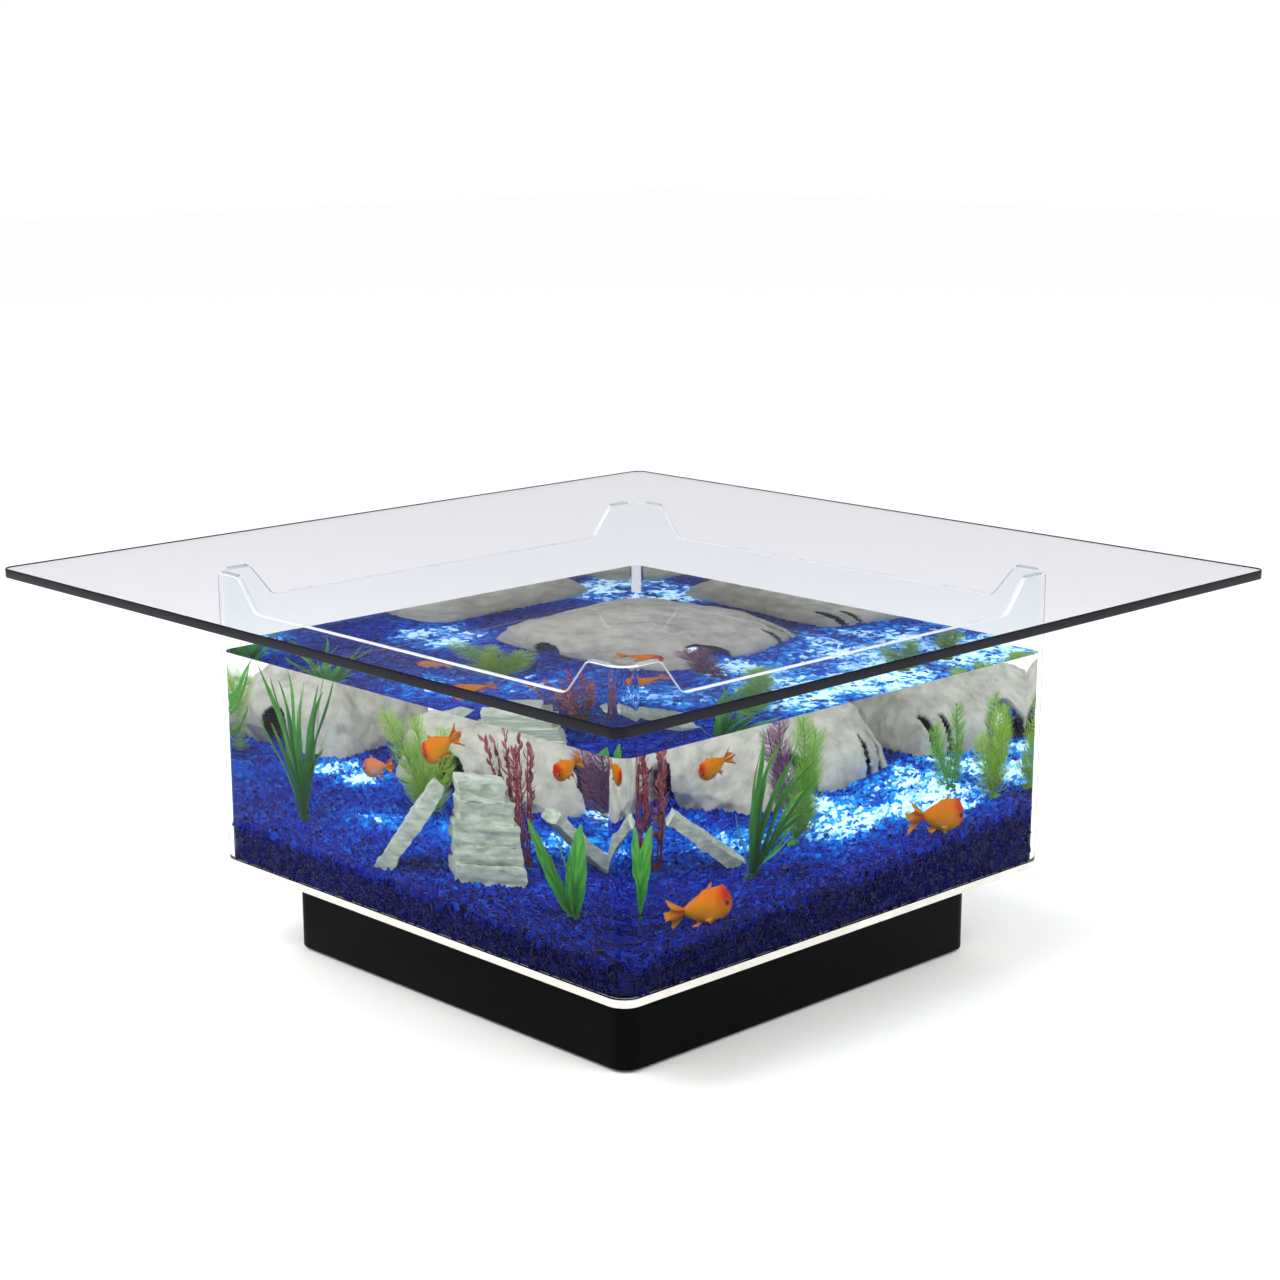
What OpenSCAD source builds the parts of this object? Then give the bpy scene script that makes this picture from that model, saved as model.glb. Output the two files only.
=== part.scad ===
// Coffee-table aquarium: a clear acrylic tank of coloured gravel, rocks, plants and
// goldfish on a black plinth, with a loose square glass top.
// Frame: origin at the middle of the base, +Z up, tank walls along X and Y.

/* [Glass top] */
// Side of the square glass top
glass_w = 914.4; // [760:1:1100]
// Thickness of the glass top
glass_t = 9.5; // [6:0.5:15]
// Corner radius of the glass top
glass_r = 12.7; // [4:0.1:30]
// Height of the clear pads between the corner posts and the glass
bumper_h = 1.5; // [1:0.1:4]

/* [Tank] */
// Outer side of the square tank
tank_w = 609.6; // [508:1:740]
// Thickness of the acrylic walls
wall_t = 6.35; // [4:0.05:10]
// Thickness of the acrylic floor
floor_t = 8; // [5:0.5:15]
// Outer bend radius of the upright corners
bend_r = 20; // [14:1:30]
// Height from the floor's upper face to the tops of the corner posts
wall_h = 297; // [280:1:340]
// Height from the floor's upper face to the rim between the posts
rim_h = 263.5; // [245:0.5:275]
// Length of a post's leg where its slope meets the rim
post_foot = 74.5; // [60:0.5:90]
// Length of a post's leg at its top
post_top = 47; // [35:0.5:55]
// Bend radius of the rim at the foot and the head of each slope
rim_bend = 12; // [6:1:16]

/* [Plinth] */
// Side of the square plinth
plinth_w = 504; // [420:1:560]
// Height of the plinth, from the floor to the foam mat
plinth_h = 90; // [70:1:120]
// Outer corner radius of the plinth
plinth_r = 20; // [16:1:30]
// Thickness of the plinth's boards
board_t = 15; // [12:0.5:20]
// Height of the glide feet
glide_h = 3; // [2:0.5:6]
// Thickness of the foam mat under the tank
foam_t = 3; // [2:0.5:6]

/* [Gravel] */
// Depth of the gravel at the middle of the tank
gravel_mid = 51; // [45:1:60]
// Rise of the gravel for each millimetre along X
slope_x = -0.022; // [-0.03:0.001:0]
// Rise of the gravel for each millimetre along Y
slope_y = 0.057; // [0.03:0.001:0.07]

/* [Rocks] */
// Thickness of the hollow rock's shell
rock_t = 12; // [8:1:16]
// Height of the ruin above the gravel
ruin_h = 104; // [85:1:125]

/* [Filter] */
// Width of the filter's housing
filter_w = 50; // [44:1:54]
// Height of the filter's housing
filter_h = 44; // [38:1:50]
// Wall of the filter's plastic mouldings
mould_t = 2.5; // [2:0.1:3]
// Radius of the impeller's blades
impeller_r = 14; // [11:0.5:16]
// Radius of the impeller's shaft
shaft_r = 1.5; // [1:0.1:2]

/* [Lamps] */
// Outer radius of a lamp's housing
lamp_r = 14; // [12:0.5:15]
// Length of a lamp, from the back of its housing to the front of its bezel
lamp_len = 30; // [26:1:32]
// Height of a lamp's pivot above the tray
pivot_h = 24; // [23:1:28]

/* [Fits] */
// Radial clearance of a running fit
run_gap = 0.05; // [0.01:0.01:0.1]
// Gap between pieces that part from each other
part_gap = 0.3; // [0.2:0.05:0.5]
// Gap round a piece that is dropped into place
drop_gap = 0.2; // [0.1:0.05:0.5]

/* [Hidden] */
$fn = 64;
far = 1000;

floor_z = plinth_h + foam_t;
bed_z = floor_z + floor_t;
post_z = bed_z + wall_h;
rim_z = bed_z + rim_h;
glass_z = post_z + bumper_h + part_gap;
tank_in = tank_w - 2 * wall_t;
// The layout of the contents is drawn for this clear width, and spreads or closes up with the tank.
layout_w = 596.9;
spread = tank_in / layout_w;
plinth_in = plinth_w - 2 * board_t;
carcass_h = plinth_h - board_t - glide_h;

block_w = 42;
rib_reach = plinth_in / 2 - drop_gap;
block_at = plinth_in / 2 - drop_gap - block_w / 2;
screw_r = 2.5;
screw_head_r = 5;
screw_head_h = 3;
screw_len = 35;
glide_r = 15;
glide_at = plinth_w / 2 - board_t - glide_r;
bumper_l = 24;

gravel_tilt = atan(norm([slope_x, slope_y]));
function gravel_z(x, y) = bed_z + gravel_mid + slope_x * x + slope_y * y;

// ---------------------------------------------------------------- shared shapes

// A square with rounded corners, centred.
module round_square(w, r) {
    square([w, w - 2 * r], center = true);
    square([w - 2 * r, w], center = true);
    for (x = [-1, 1], y = [-1, 1]) translate([x, y] * (w / 2 - r)) circle(r);
}

// A slab with rounded upright corners, standing on z = 0.
module round_slab(w, h, r) {
    linear_extrude(h) round_square(w, r);
}

// A cylinder whose axis lies along Y, from y = 0 to y = length.
module rod_y(r, length) {
    rotate([-90, 0, 0]) cylinder(h = length, r = r);
}

// Puts a piece on the sloping gravel with its foot square to it, at a place of the layout.
module on_gravel(x, y, turn = 0) {
    translate([x * spread, y * spread, gravel_z(x * spread, y * spread)])
        rotate(a = gravel_tilt, v = [slope_y, -slope_x, 0])
            rotate([0, 0, turn]) children();
}

// Everything more than lift above the gravel.
module above_gravel(lift = 0) {
    on_gravel(0, 0) translate([-far / 2, -far / 2, lift]) cube([far, far, far]);
}

module below_gravel(lift = 0) {
    on_gravel(0, 0) translate([-far / 2, -far / 2, lift - far]) cube([far, far, far]);
}

// ---------------------------------------------------------------- plinth

module plinth_shell() {
    color("#0a0c10") translate([0, 0, glide_h]) difference() {
        round_slab(plinth_w, plinth_h - glide_h, plinth_r);
        translate([0, 0, -1]) round_slab(plinth_in, plinth_h, plinth_r - board_t);
    }
}

module screw_places() {
    for (x = [-1, 1], y = [-1, 1]) translate([x, y, 0] * block_at) children();
    for (a = [0:90:270]) rotate([0, 0, a]) translate([plinth_in / 4, 0, 0]) children();
}

module deck_screw(gap = 0) {
    translate([0, 0, plinth_h - screw_len]) cylinder(h = screw_len, r = screw_r + gap);
    translate([0, 0, plinth_h - screw_head_h])
        cylinder(h = screw_head_h, r1 = screw_r + gap, r2 = screw_head_r + gap);
}

module plinth_deck() {
    color("#1a1c20") difference() {
        translate([0, 0, plinth_h - board_t])
            round_slab(plinth_in - 2 * drop_gap, board_t, plinth_r - board_t);
        screw_places() deck_screw(run_gap);
    }
}

module corner_blocks() {
    color("#b08a58") difference() {
        for (x = [-1, 1], y = [-1, 1])
            translate([x * block_at, y * block_at, glide_h]) round_slab(block_w, carcass_h, plinth_r - board_t);
        screw_places() deck_screw(run_gap);
    }
}

// One rib of the crossed pair, along X, with its half-lap from z = notch_z up to notch_top.
module rib(notch_z, notch_top) {
    difference() {
        translate([-rib_reach, -board_t / 2, glide_h]) cube([2 * rib_reach, board_t, carcass_h]);
        translate([-board_t / 2 - drop_gap, -board_t, notch_z])
            cube([board_t + 2 * drop_gap, 2 * board_t, notch_top - notch_z]);
        screw_places() deck_screw(run_gap);
    }
}

lap_z = glide_h + carcass_h / 2;

module rib_long() {
    color("#b08a58") rib(lap_z, plinth_h);
}

module rib_cross() {
    color("#b08a58") rotate([0, 0, 90]) rib(0, lap_z);
}

module deck_screws() {
    color("#c9c6b8") screw_places() deck_screw();
}

module glide_feet() {
    color("#2a2a2c") {
        for (x = [-1, 1], y = [-1, 1]) translate([x * block_at, y * block_at, 0]) cylinder(h = glide_h, r = glide_r);
        for (a = [0:90:270]) rotate([0, 0, a]) translate([glide_at, 0, 0]) cylinder(h = glide_h, r = glide_r);
    }
}

module foam_mat() {
    color("#26282c") translate([0, 0, plinth_h]) round_slab(plinth_w - 8, foam_t, plinth_r);
}

// ---------------------------------------------------------------- tank

module tank_floor() {
    color("#e8f4f2", 0.5) translate([0, 0, floor_z]) round_slab(tank_w, floor_t, bend_r);
}

// Half of the rim's cut-out, right of its middle: the bend at the foot of the slope, then the
// bend at its head. Both are arcs tangent to the slope.
function half_rim(foot, head, rise, r) =
    let (lean = atan2(rise, head - foot), t = r * tan(lean / 2), steps = 8)
    concat(
        [for (i = [0:steps]) let (a = lean * i / steps) [foot - t + r * sin(a), r - r * cos(a)]],
        [for (i = [steps:-1:0]) let (a = lean * i / steps) [head + t - r * sin(a), rise - r + r * cos(a)]]
    );

module rim_cutout() {
    side = half_rim(tank_w / 2 - post_foot, tank_w / 2 - post_top, wall_h - rim_h, rim_bend);
    last = side[len(side) - 1];
    polygon(concat(
        [for (i = [len(side) - 1:-1:0]) [-side[i][0], side[i][1]]], side,
        [[last[0], last[1] + rim_bend], [-last[0], last[1] + rim_bend]]
    ));
}

module tank_walls() {
    color("#e8f4f2", 0.3) difference() {
        translate([0, 0, bed_z]) linear_extrude(wall_h) difference() {
            round_square(tank_w, bend_r);
            round_square(tank_in, bend_r - wall_t);
        }
        for (a = [0, 90]) rotate([0, 0, a])
            translate([0, tank_w, rim_z]) rotate([90, 0, 0]) linear_extrude(2 * tank_w) rim_cutout();
    }
}

module top_bumpers() {
    color("#dfe8ea") for (a = [0:90:270]) rotate([0, 0, a]) for (m = [0, 1]) mirror([m, 0, 0])
        translate([tank_w / 2 - bend_r - bumper_l, -tank_w / 2 + 0.5, post_z]) cube([bumper_l, wall_t - 1, bumper_h]);
}

module glass_top() {
    color("#cfe0dc", 0.4) translate([0, 0, glass_z]) round_slab(glass_w, glass_t, glass_r);
}

// ---------------------------------------------------------------- gravel and rocks

// The level tray that the filter and lamps stand on, inside the hollow rock.
tray_x = [-234, -30];
tray_y = [80, 214];
tray_t = 4;
tray_sink = 1;
tray_z = floor(gravel_z(tray_x[1], tray_y[0])) - tray_sink;
deck_z = tray_z + tray_t;

module tray_blank(gap, h) {
    translate([tray_x[0] - gap, tray_y[0] - gap, tray_z])
        cube([tray_x[1] - tray_x[0] + 2 * gap, tray_y[1] - tray_y[0] + 2 * gap, h]);
}

module gravel_bed() {
    color("#1a3aa8") difference() {
        translate([0, 0, bed_z])
            round_slab(tank_in - 2 * drop_gap, 2 * gravel_mid, bend_r - wall_t);
        above_gravel();
        tray_blank(drop_gap, far);
    }
}

module equipment_tray() {
    color("#22252a") tray_blank(0, tray_t);
}

// Lumps of the hollow rock: x, y, height of the lump's middle above the bed, and radius.
LUMPS = [
    [-205, 70, 88, 50], [-214, 222, 84, 52], [-165, 180, 112, 52], [-105, 232, 98, 50], [-44, 236, 70, 44],
    [-40, 130, 68, 44], [-120, 60, 88, 46], [-115, 135, 114, 44], [-226, 58, 46, 36], [-228, 236, 46, 42],
    [-34, 246, 46, 38], [-34, 92, 46, 38]
];

// Each lamp's mouth in the rock: start of the cut ahead of the lamp, width and height.
MOUTHS = [[18, 52, 52], [18, 44, 46]];
CLEFTS = [232, 254];

module lump_hull(shrink) {
    hull() for (p = LUMPS) translate([p[0] * spread, p[1] * spread, bed_z + p[2]]) sphere(p[3] - shrink, $fn = 24);
}

// An arched mouth along +X from the origin: w wide, h high to the crown.
module mouth(w, h, depth) {
    rotate([90, 0, 90]) linear_extrude(depth) {
        translate([-w / 2, -40]) square([w, 40 + h - w / 2]);
        translate([0, h - w / 2]) circle(w / 2);
    }
}

module rock_formation() {
    color("#9c978a") difference() {
        lump_hull(0);
        difference() {
            lump_hull(rock_t);
            translate([-far / 2, -far / 2, -far]) cube([far, far, far]);
        }
        // an arched mouth in front of each lamp, and two narrow clefts beside the clearing
        for (n = [0, 1]) translate([LAMPS[n][0], LAMPS[n][1], deck_z]) rotate([0, 0, LAMPS[n][2]])
            translate([MOUTHS[n][0], 0, 0]) mouth(MOUTHS[n][1], MOUTHS[n][2], 100);
        for (y = CLEFTS) translate([-60, y, deck_z]) mouth(9, 52, 100);
        below_gravel(part_gap);
    }
}

// Courses of the ruin's stack: shift along X, shift along Y, width, depth and share of the height.
COURSES = [[0, 0, 74, 40, 0.2], [2, 1, 68, 36, 0.18], [-2, 2, 70, 37, 0.2], [1, 1, 64, 34, 0.22], [-3, 2, 58, 32, 0.2]];
stack_x = 44 * spread;
stack_y = -196 * spread;
stack_turn = 46;

function course_z(n) = n == 0 ? 0 : ruin_h * COURSES[n - 1][4] + course_z(n - 1);

module stack_blocks() {
    translate([stack_x, stack_y, 0]) rotate([0, 0, stack_turn])
        for (n = [0:len(COURSES) - 1])
            let (c = COURSES[n], z = gravel_z(stack_x, stack_y) + (n == 0 ? -20 : course_z(n)))
                translate([c[0] - c[2] / 2, c[1] - c[3] / 2, z])
                    cube([c[2], c[3], ruin_h * c[4] + (n == 0 ? 20 : 0)]);
}

module ruin_stack() {
    color("#a9b5a5") difference() {
        stack_blocks();
        below_gravel();
    }
}

// A flat stone leaning against the stack from its foot on the gravel.
module leaning_slab(place, turn, lean, size) {
    foot = place * spread;
    difference() {
        translate([foot[0], foot[1], gravel_z(foot[0], foot[1])]) rotate([0, 0, turn]) rotate([0, lean, 0])
            translate([-size[0] / 2, -size[1] / 2, -30]) cube([size[0], size[1], size[2] + 30]);
        below_gravel();
        stack_blocks();
    }
}

module ruin_slab_front() {
    color("#b7c2b2") leaning_slab([-62, -262], 30, 38, [20, 40, 118]);
}

module ruin_slab_back() {
    color("#a3ad9d") leaning_slab([125, -45], 244, 53, [14, 34, 150]);
}

// ---------------------------------------------------------------- filter

// The filter lies along X, with its basket at the -X end. In its own frame it lies along Y.
filter_place = [-185, 178, 0];
basket_len = 48;
cover_y = basket_len + part_gap;
cover_t = 5;
seal_t = 1;
house_y = cover_y + cover_t + seal_t;
house_len = 52;
foot_h = 6;
filter_z = deck_z + foot_h;
axle_z = filter_z + filter_h / 2;
chamber_len = 14;
rotor_r = 8;
rotor_len = 22;
well_gap = 0.8;
shaft_seat = 6;
stator_y = house_y + chamber_len;
stator_len = house_len - chamber_len - mould_t;
outlet_r = 5;
outlet_y = house_y + chamber_len - outlet_r;
socket_h = 6;
nozzle_t = 1.5;
spout_len = 26;

module at_filter() {
    translate(filter_place) rotate([0, 0, -90]) children();
}

// A block of the housing's section, from y = 0 to y = length, drawn in by inset.
module filter_block(length, inset = 0) {
    translate([-filter_w / 2 + inset, 0, filter_z + inset])
        cube([filter_w - 2 * inset, length, filter_h - 2 * inset]);
}

module outlet_bore(r) {
    translate([0, outlet_y, axle_z]) cylinder(h = far / 10, r = r);
}

module filter_housing() {
    color("#1d2024") at_filter() difference() {
        union() {
            translate([0, house_y, 0]) filter_block(house_len);
            translate([0, outlet_y, filter_z + filter_h - 1]) cylinder(h = socket_h + 1, r = outlet_r + 3);
        }
        translate([0, house_y - 1, 0]) filter_block(house_len - mould_t + 1, mould_t);
        outlet_bore(outlet_r + run_gap);
    }
}

module filter_seal() {
    color("#3a3a3c") at_filter() translate([0, house_y - seal_t, 0]) difference() {
        filter_block(seal_t, 0.5);
        translate([0, -1, 0]) filter_block(seal_t + 2, mould_t);
    }
}

module volute_cover() {
    color("#24282c") at_filter() difference() {
        translate([0, cover_y, 0]) filter_block(cover_t);
        for (a = [0:60:300])
            translate([9 * cos(a), cover_y - 1, axle_z + 9 * sin(a)]) rod_y(3.5, cover_t + 2);
        translate([0, cover_y + 1, axle_z]) rod_y(shaft_r, cover_t);
    }
}

module pump_stator() {
    color("#5a3b22") at_filter() difference() {
        translate([0, stator_y, 0]) filter_block(stator_len, mould_t + drop_gap);
        translate([0, stator_y - 1, axle_z]) rod_y(rotor_r + well_gap, rotor_len + 2);
        translate([0, stator_y, axle_z]) rod_y(shaft_r, rotor_len + shaft_seat);
    }
}

module impeller_shaft() {
    color("#f2f0ea") at_filter() translate([0, cover_y + 1, axle_z])
        rod_y(shaft_r, stator_y + rotor_len + shaft_seat - cover_y - 1);
}

module impeller() {
    blade_len = chamber_len - 5;
    color("#e9ebee") at_filter() translate([0, stator_y, axle_z]) difference() {
        union() {
            rod_y(rotor_r, rotor_len);
            translate([0, -2, 0]) rod_y(impeller_r, 1.5);
            translate([0, -blade_len - 2, 0]) rod_y(3.5, blade_len + 2);
            for (a = [0:60:300]) rotate([0, a, 0])
                translate([0, -blade_len - 2, -0.75]) cube([impeller_r - 1, blade_len + 0.5, 1.5]);
        }
        translate([0, -chamber_len, 0]) rod_y(shaft_r + run_gap, rotor_len + 2 * chamber_len);
    }
}

module outlet_nozzle() {
    sleeve_h = mould_t + socket_h;
    elbow_r = outlet_r + 2;
    base_z = filter_z + filter_h - mould_t;
    color("#1d2024") at_filter() translate([0, outlet_y, 0]) difference() {
        union() {
            translate([0, 0, base_z]) cylinder(h = sleeve_h + 4, r = outlet_r);
            translate([0, 0, base_z + sleeve_h + part_gap]) cylinder(h = 2 * elbow_r, r = elbow_r);
            translate([0, 0, base_z + sleeve_h + part_gap + elbow_r]) rotate([0, 90, 0])
                cylinder(h = spout_len, r = elbow_r - 1);
        }
        translate([0, 0, base_z - 1]) cylinder(h = sleeve_h + 1 + elbow_r, r = outlet_r - nozzle_t);
        translate([0, 0, base_z + sleeve_h + part_gap + elbow_r]) rotate([0, 90, 0])
            cylinder(h = spout_len + 1, r = outlet_r - nozzle_t);
    }
}

module filter_basket() {
    slots = 5;
    pitch = (basket_len - 8) / slots;
    color("#2b3036") at_filter() difference() {
        filter_block(basket_len);
        translate([0, mould_t, 0]) filter_block(basket_len, mould_t);
        for (n = [0:slots - 1]) translate([-filter_w, 6 + n * pitch, filter_z + 8])
            cube([2 * filter_w, pitch - 3.5, filter_h - 16]);
        for (n = [-2:2]) translate([8 * n - 2, -1, filter_z + 8]) cube([4, mould_t + 2, filter_h - 16]);
    }
}

module filter_sponge() {
    color("#30343a") at_filter() translate([0, mould_t, 0])
        filter_block(basket_len - mould_t - 4, mould_t + drop_gap);
}

module suction_feet() {
    color("#4a4c50") at_filter() for (x = [-1, 1], y = [12, house_len - 12])
        translate([x * (filter_w / 2 - 10), house_y + y, deck_z]) cylinder(h = foot_h, r1 = 8, r2 = 5);
}

module gland(length) {
    difference() {
        rod_y(4, length);
        translate([0, 1, 0]) rod_y(2, length);
    }
}

module cable_gland() {
    color("#17191c") at_filter() translate([0, house_y + house_len, axle_z - 8]) gland(8);
}

// ---------------------------------------------------------------- lamps

// A lamp's own frame: beam along +X, pivot at the origin, tilting about Y.
LAMPS = [[-54, 128, 0], [-150, 104, -90]];
lamp_wall = 2;
bezel_t = 2;
lens_t = 2;
board_disc_t = 1.6;
gland_len = 6;
boss_r = 5;
boss_reach = lamp_r + 2;
ear_in = boss_reach + part_gap;
ear_t = 3;
pin_r = 2;
pin_depth = 3;

module at_lamp(n) {
    translate([LAMPS[n][0], LAMPS[n][1], deck_z + pivot_h]) rotate([0, 0, LAMPS[n][2]]) children();
}

// A disc about the beam, from x to x + t.
module beam_disc(x, t, r) {
    translate([x, 0, 0]) rotate([0, 90, 0]) cylinder(h = t, r = r);
}

lamp_front = lamp_len / 2;
cup_front = lamp_front - bezel_t;

module lamp_bracket(n) {
    ear_w = 14;
    reach = ear_in + ear_t;
    color("#30343a") at_lamp(n) difference() {
        union() {
            translate([-ear_w / 2, -reach, -pivot_h]) cube([ear_w, 2 * reach, 2.5]);
            for (s = [-1, 1]) translate([-ear_w / 2, s * (ear_in + ear_t / 2) - ear_t / 2, -pivot_h])
                cube([ear_w, ear_t, pivot_h + 6]);
        }
        translate([0, -far / 2, 0]) rod_y(pin_r, far);
    }
}

module lamp_housing(n) {
    color("#24272b") at_lamp(n) difference() {
        union() {
            beam_disc(-lamp_front, cup_front + lamp_front, lamp_r);
            translate([0, -boss_reach, 0]) rod_y(boss_r, 2 * boss_reach);
        }
        beam_disc(-lamp_front + 3, far, lamp_r - lamp_wall - 1.5);
        beam_disc(0, far, lamp_r - lamp_wall);
        for (s = [0, 1]) mirror([0, s, 0]) translate([0, boss_reach - pin_depth, 0]) rod_y(pin_r + run_gap, far);
    }
}

module lamp_board(n) {
    color("#e8ecd8") at_lamp(n) beam_disc(0, board_disc_t, lamp_r - lamp_wall - drop_gap);
}

module lamp_lens(n) {
    color("#dff2ff", 0.6) at_lamp(n) beam_disc(cup_front - lens_t, lens_t, lamp_r - lamp_wall - drop_gap / 2);
}

module lamp_bezel(n) {
    color("#c8ccd0") at_lamp(n) difference() {
        beam_disc(cup_front, bezel_t, lamp_r);
        beam_disc(cup_front - 1, bezel_t + 2, lamp_r - lamp_wall - 1.5);
    }
}

module lamp_gland(n) {
    color("#17191c") at_lamp(n) translate([-lamp_front, 0, 0]) rotate([0, 0, 90]) gland(gland_len);
}

module lamp_pivots() {
    color("#b9bcc0") for (n = [0, 1]) at_lamp(n) for (s = [0, 1]) mirror([0, s, 0])
        translate([0, boss_reach - pin_depth + drop_gap, 0])
            rod_y(pin_r, ear_in + ear_t - boss_reach + pin_depth - drop_gap);
}

// ---------------------------------------------------------------- plants

// The weighted foot that a plant's leaves grow from.
module plant_foot(r = 9, h = 7) {
    cylinder(h = h, r1 = r, r2 = r * 0.7);
}

// A ribbon leaf that bows outwards along an arc of radius bow, from the foot up.
module ribbon_leaf(length, w, bow, turn, out = 3) {
    arc = length / bow * 180 / PI;
    rotate([0, 0, turn]) translate([out + bow, w / 2, 3]) rotate([90, 0, 0]) rotate([0, 0, 180 - arc])
        rotate_extrude(angle = arc) translate([bow - 0.6, 0]) square([1.2, w]);
}

// A pointed leaf, flat, leaning outwards.
module sword_leaf(length, w, lean, turn) {
    rotate([0, 0, turn]) rotate([0, lean, 0]) translate([0, 0, 2]) rotate([90, 0, 90]) linear_extrude(1.4, center = true)
        polygon([[-2, 0], [-w / 2, length * 0.35], [-w * 0.4, length * 0.7], [0, length],
            [w * 0.4, length * 0.7], [w / 2, length * 0.35], [2, 0]]);
}

// A stem ringed with whorls of fine leaves, each whorl a cup that opens upwards.
module feather_stem(length, r, lean, turn) {
    pitch = 12;
    rotate([0, 0, turn]) translate([1, 0, 2]) rotate([0, lean, 0]) {
        cylinder(h = length, r = 1.3);
        for (z = [14:pitch:length - 8])
            translate([0, 0, z]) cylinder(h = 7, r1 = 1.5, r2 = r * (1 - 0.5 * z / length));
    }
}

// A thin woody stem with a side twig on each of its upper thirds.
module twig(length, lean, turn) {
    rotate([0, 0, turn]) translate([4, 0, 2]) rotate([0, lean, 0]) {
        cylinder(h = length, r = 1.1);
        for (s = [0.4, 0.7]) translate([0, 0, length * s]) rotate([0, 40, 300 * s]) cylinder(h = length * 0.2, r = 0.8);
    }
}

module ribbon_plant_left() {
    color("#3f7a33") on_gravel(-227, -212) {
        plant_foot();
        for (n = [0:8]) ribbon_leaf(150 + 9 * (n % 3), 7, 330 + 60 * (n % 4), 40 * n + 12);
    }
}

module ribbon_plant_right() {
    color("#2f6b2f") on_gravel(185, -67) {
        plant_foot();
        for (n = [0:4]) ribbon_leaf(120 + 8 * n, 8, 150 + 35 * n, 44 + 26 * n);
        ribbon_leaf(70, 7, 160, 250);
    }
}

module sword_plant() {
    color("#2e6b2a") on_gravel(183, -215) {
        plant_foot();
        sword_leaf(104, 25, -34, 20);
        sword_leaf(88, 12, 12, 100);
    }
}

module twig_plant() {
    color("#7a3b45") on_gravel(52, -114) {
        plant_foot();
        for (n = [0:6]) twig(118 + 7 * (n % 3), 8 + 5 * (n % 3), 112 + 25 * n);
    }
}

module feather_left() {
    color("#8db33a") on_gravel(-128, -66) {
        plant_foot();
        feather_stem(118, 15, -30, 12);
        feather_stem(104, 15, -12, -10);
        feather_stem(96, 14, 16, 60);
    }
}

module feather_middle() {
    color("#6f9f38") on_gravel(132, 28) {
        plant_foot();
        feather_stem(132, 15, 6, 60);
        feather_stem(118, 14, 20, 100);
    }
}

module feather_purple() {
    color("#6e4a66") on_gravel(44, 84) {
        plant_foot();
        feather_stem(116, 13, 8, 200);
        feather_stem(100, 12, 24, 190);
    }
}

module feather_far() {
    color("#6fa040") on_gravel(142, 262) {
        plant_foot();
        feather_stem(92, 11, 5, 80);
        feather_stem(76, 10, 14, 250);
    }
}

module bush_far() {
    color("#7fae45") on_gravel(232, 272) {
        plant_foot();
        feather_stem(100, 13, 4, 10);
        feather_stem(74, 12, 14, 250);
    }
}

// ---------------------------------------------------------------- goldfish

// Half-width of the body at a share t of its length, from the nose to the root of the tail.
function fish_r(t) = 0.36 * pow(sin(180 * pow(t, 0.72)), 0.8) * (1 - 0.25 * t) + 0.05 * t;

// A plump goldfish of the given length, nose along +X from the middle of its body.
module goldfish(length) {
    body = 0.66 * length;
    steps = 14;
    translate([body * 0.55, 0, 0]) rotate([0, -90, 0]) rotate_extrude()
        polygon(concat([[0, 0]], [for (i = [1:steps]) [max(0.6, 0.72 * body * fish_r(i / steps)), body * i / steps]], [[0, body]]));
    rotate([90, 0, 0]) linear_extrude(1.6, center = true) {
        polygon([[-0.2, -0.02], [-0.5, -0.05], [-0.66, -0.2], [-0.58, 0], [-0.66, 0.2], [-0.5, 0.05], [-0.2, 0.02]] * length);
        polygon([[0.12, 0.1], [0.0, 0.28], [-0.2, 0.2], [-0.2, 0], [0.1, 0]] * length);
    }
}

// Where each fish swims: x, y, height above the bed's underside, heading about Z, pitch (nose up) and length.
FISH = [
    [-20, -196, 161, 212, -34, 62], [60, -40, 137, 250, -24, 50], [-170, -122, 103, 200, -14, 50],
    [256, -172, 52, 60, 3, 84], [270, 158, 73, 66, -8, 84], [32, -12, 190, 20, 0, 60]
];

module swimming(n) {
    f = FISH[n - 1];
    color("#e08a1e") translate([f[0] * spread, f[1] * spread, bed_z + f[2]]) rotate([0, 0, f[3]]) rotate([0, -f[4], 0]) goldfish(f[5]);
}

// ---------------------------------------------------------------- nodes

plinth_shell();
plinth_deck();
corner_blocks();
rib_long();
rib_cross();
deck_screws();
glide_feet();
foam_mat();
tank_floor();
tank_walls();
top_bumpers();
glass_top();
gravel_bed();
rock_formation();
ruin_stack();
ruin_slab_front();
ruin_slab_back();
equipment_tray();
filter_housing();
filter_seal();
volute_cover();
pump_stator();
impeller();
impeller_shaft();
outlet_nozzle();
filter_basket();
filter_sponge();
suction_feet();
cable_gland();
for (n = [0, 1]) {
    lamp_bracket(n);
    lamp_housing(n);
    lamp_board(n);
    lamp_lens(n);
    lamp_bezel(n);
    lamp_gland(n);
}
lamp_pivots();
ribbon_plant_left();
ribbon_plant_right();
sword_plant();
twig_plant();
feather_left();
feather_middle();
feather_purple();
feather_far();
bush_far();
for (n = [1:len(FISH)])
    swimming(n);
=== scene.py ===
"""Looks of a square coffee-table aquarium.

A clear acrylic tank under a glass top, with gravel, rocks, plants and goldfish.
"""
import itertools
import logging
import math
from dataclasses import dataclass, field
from enum import Enum

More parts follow.
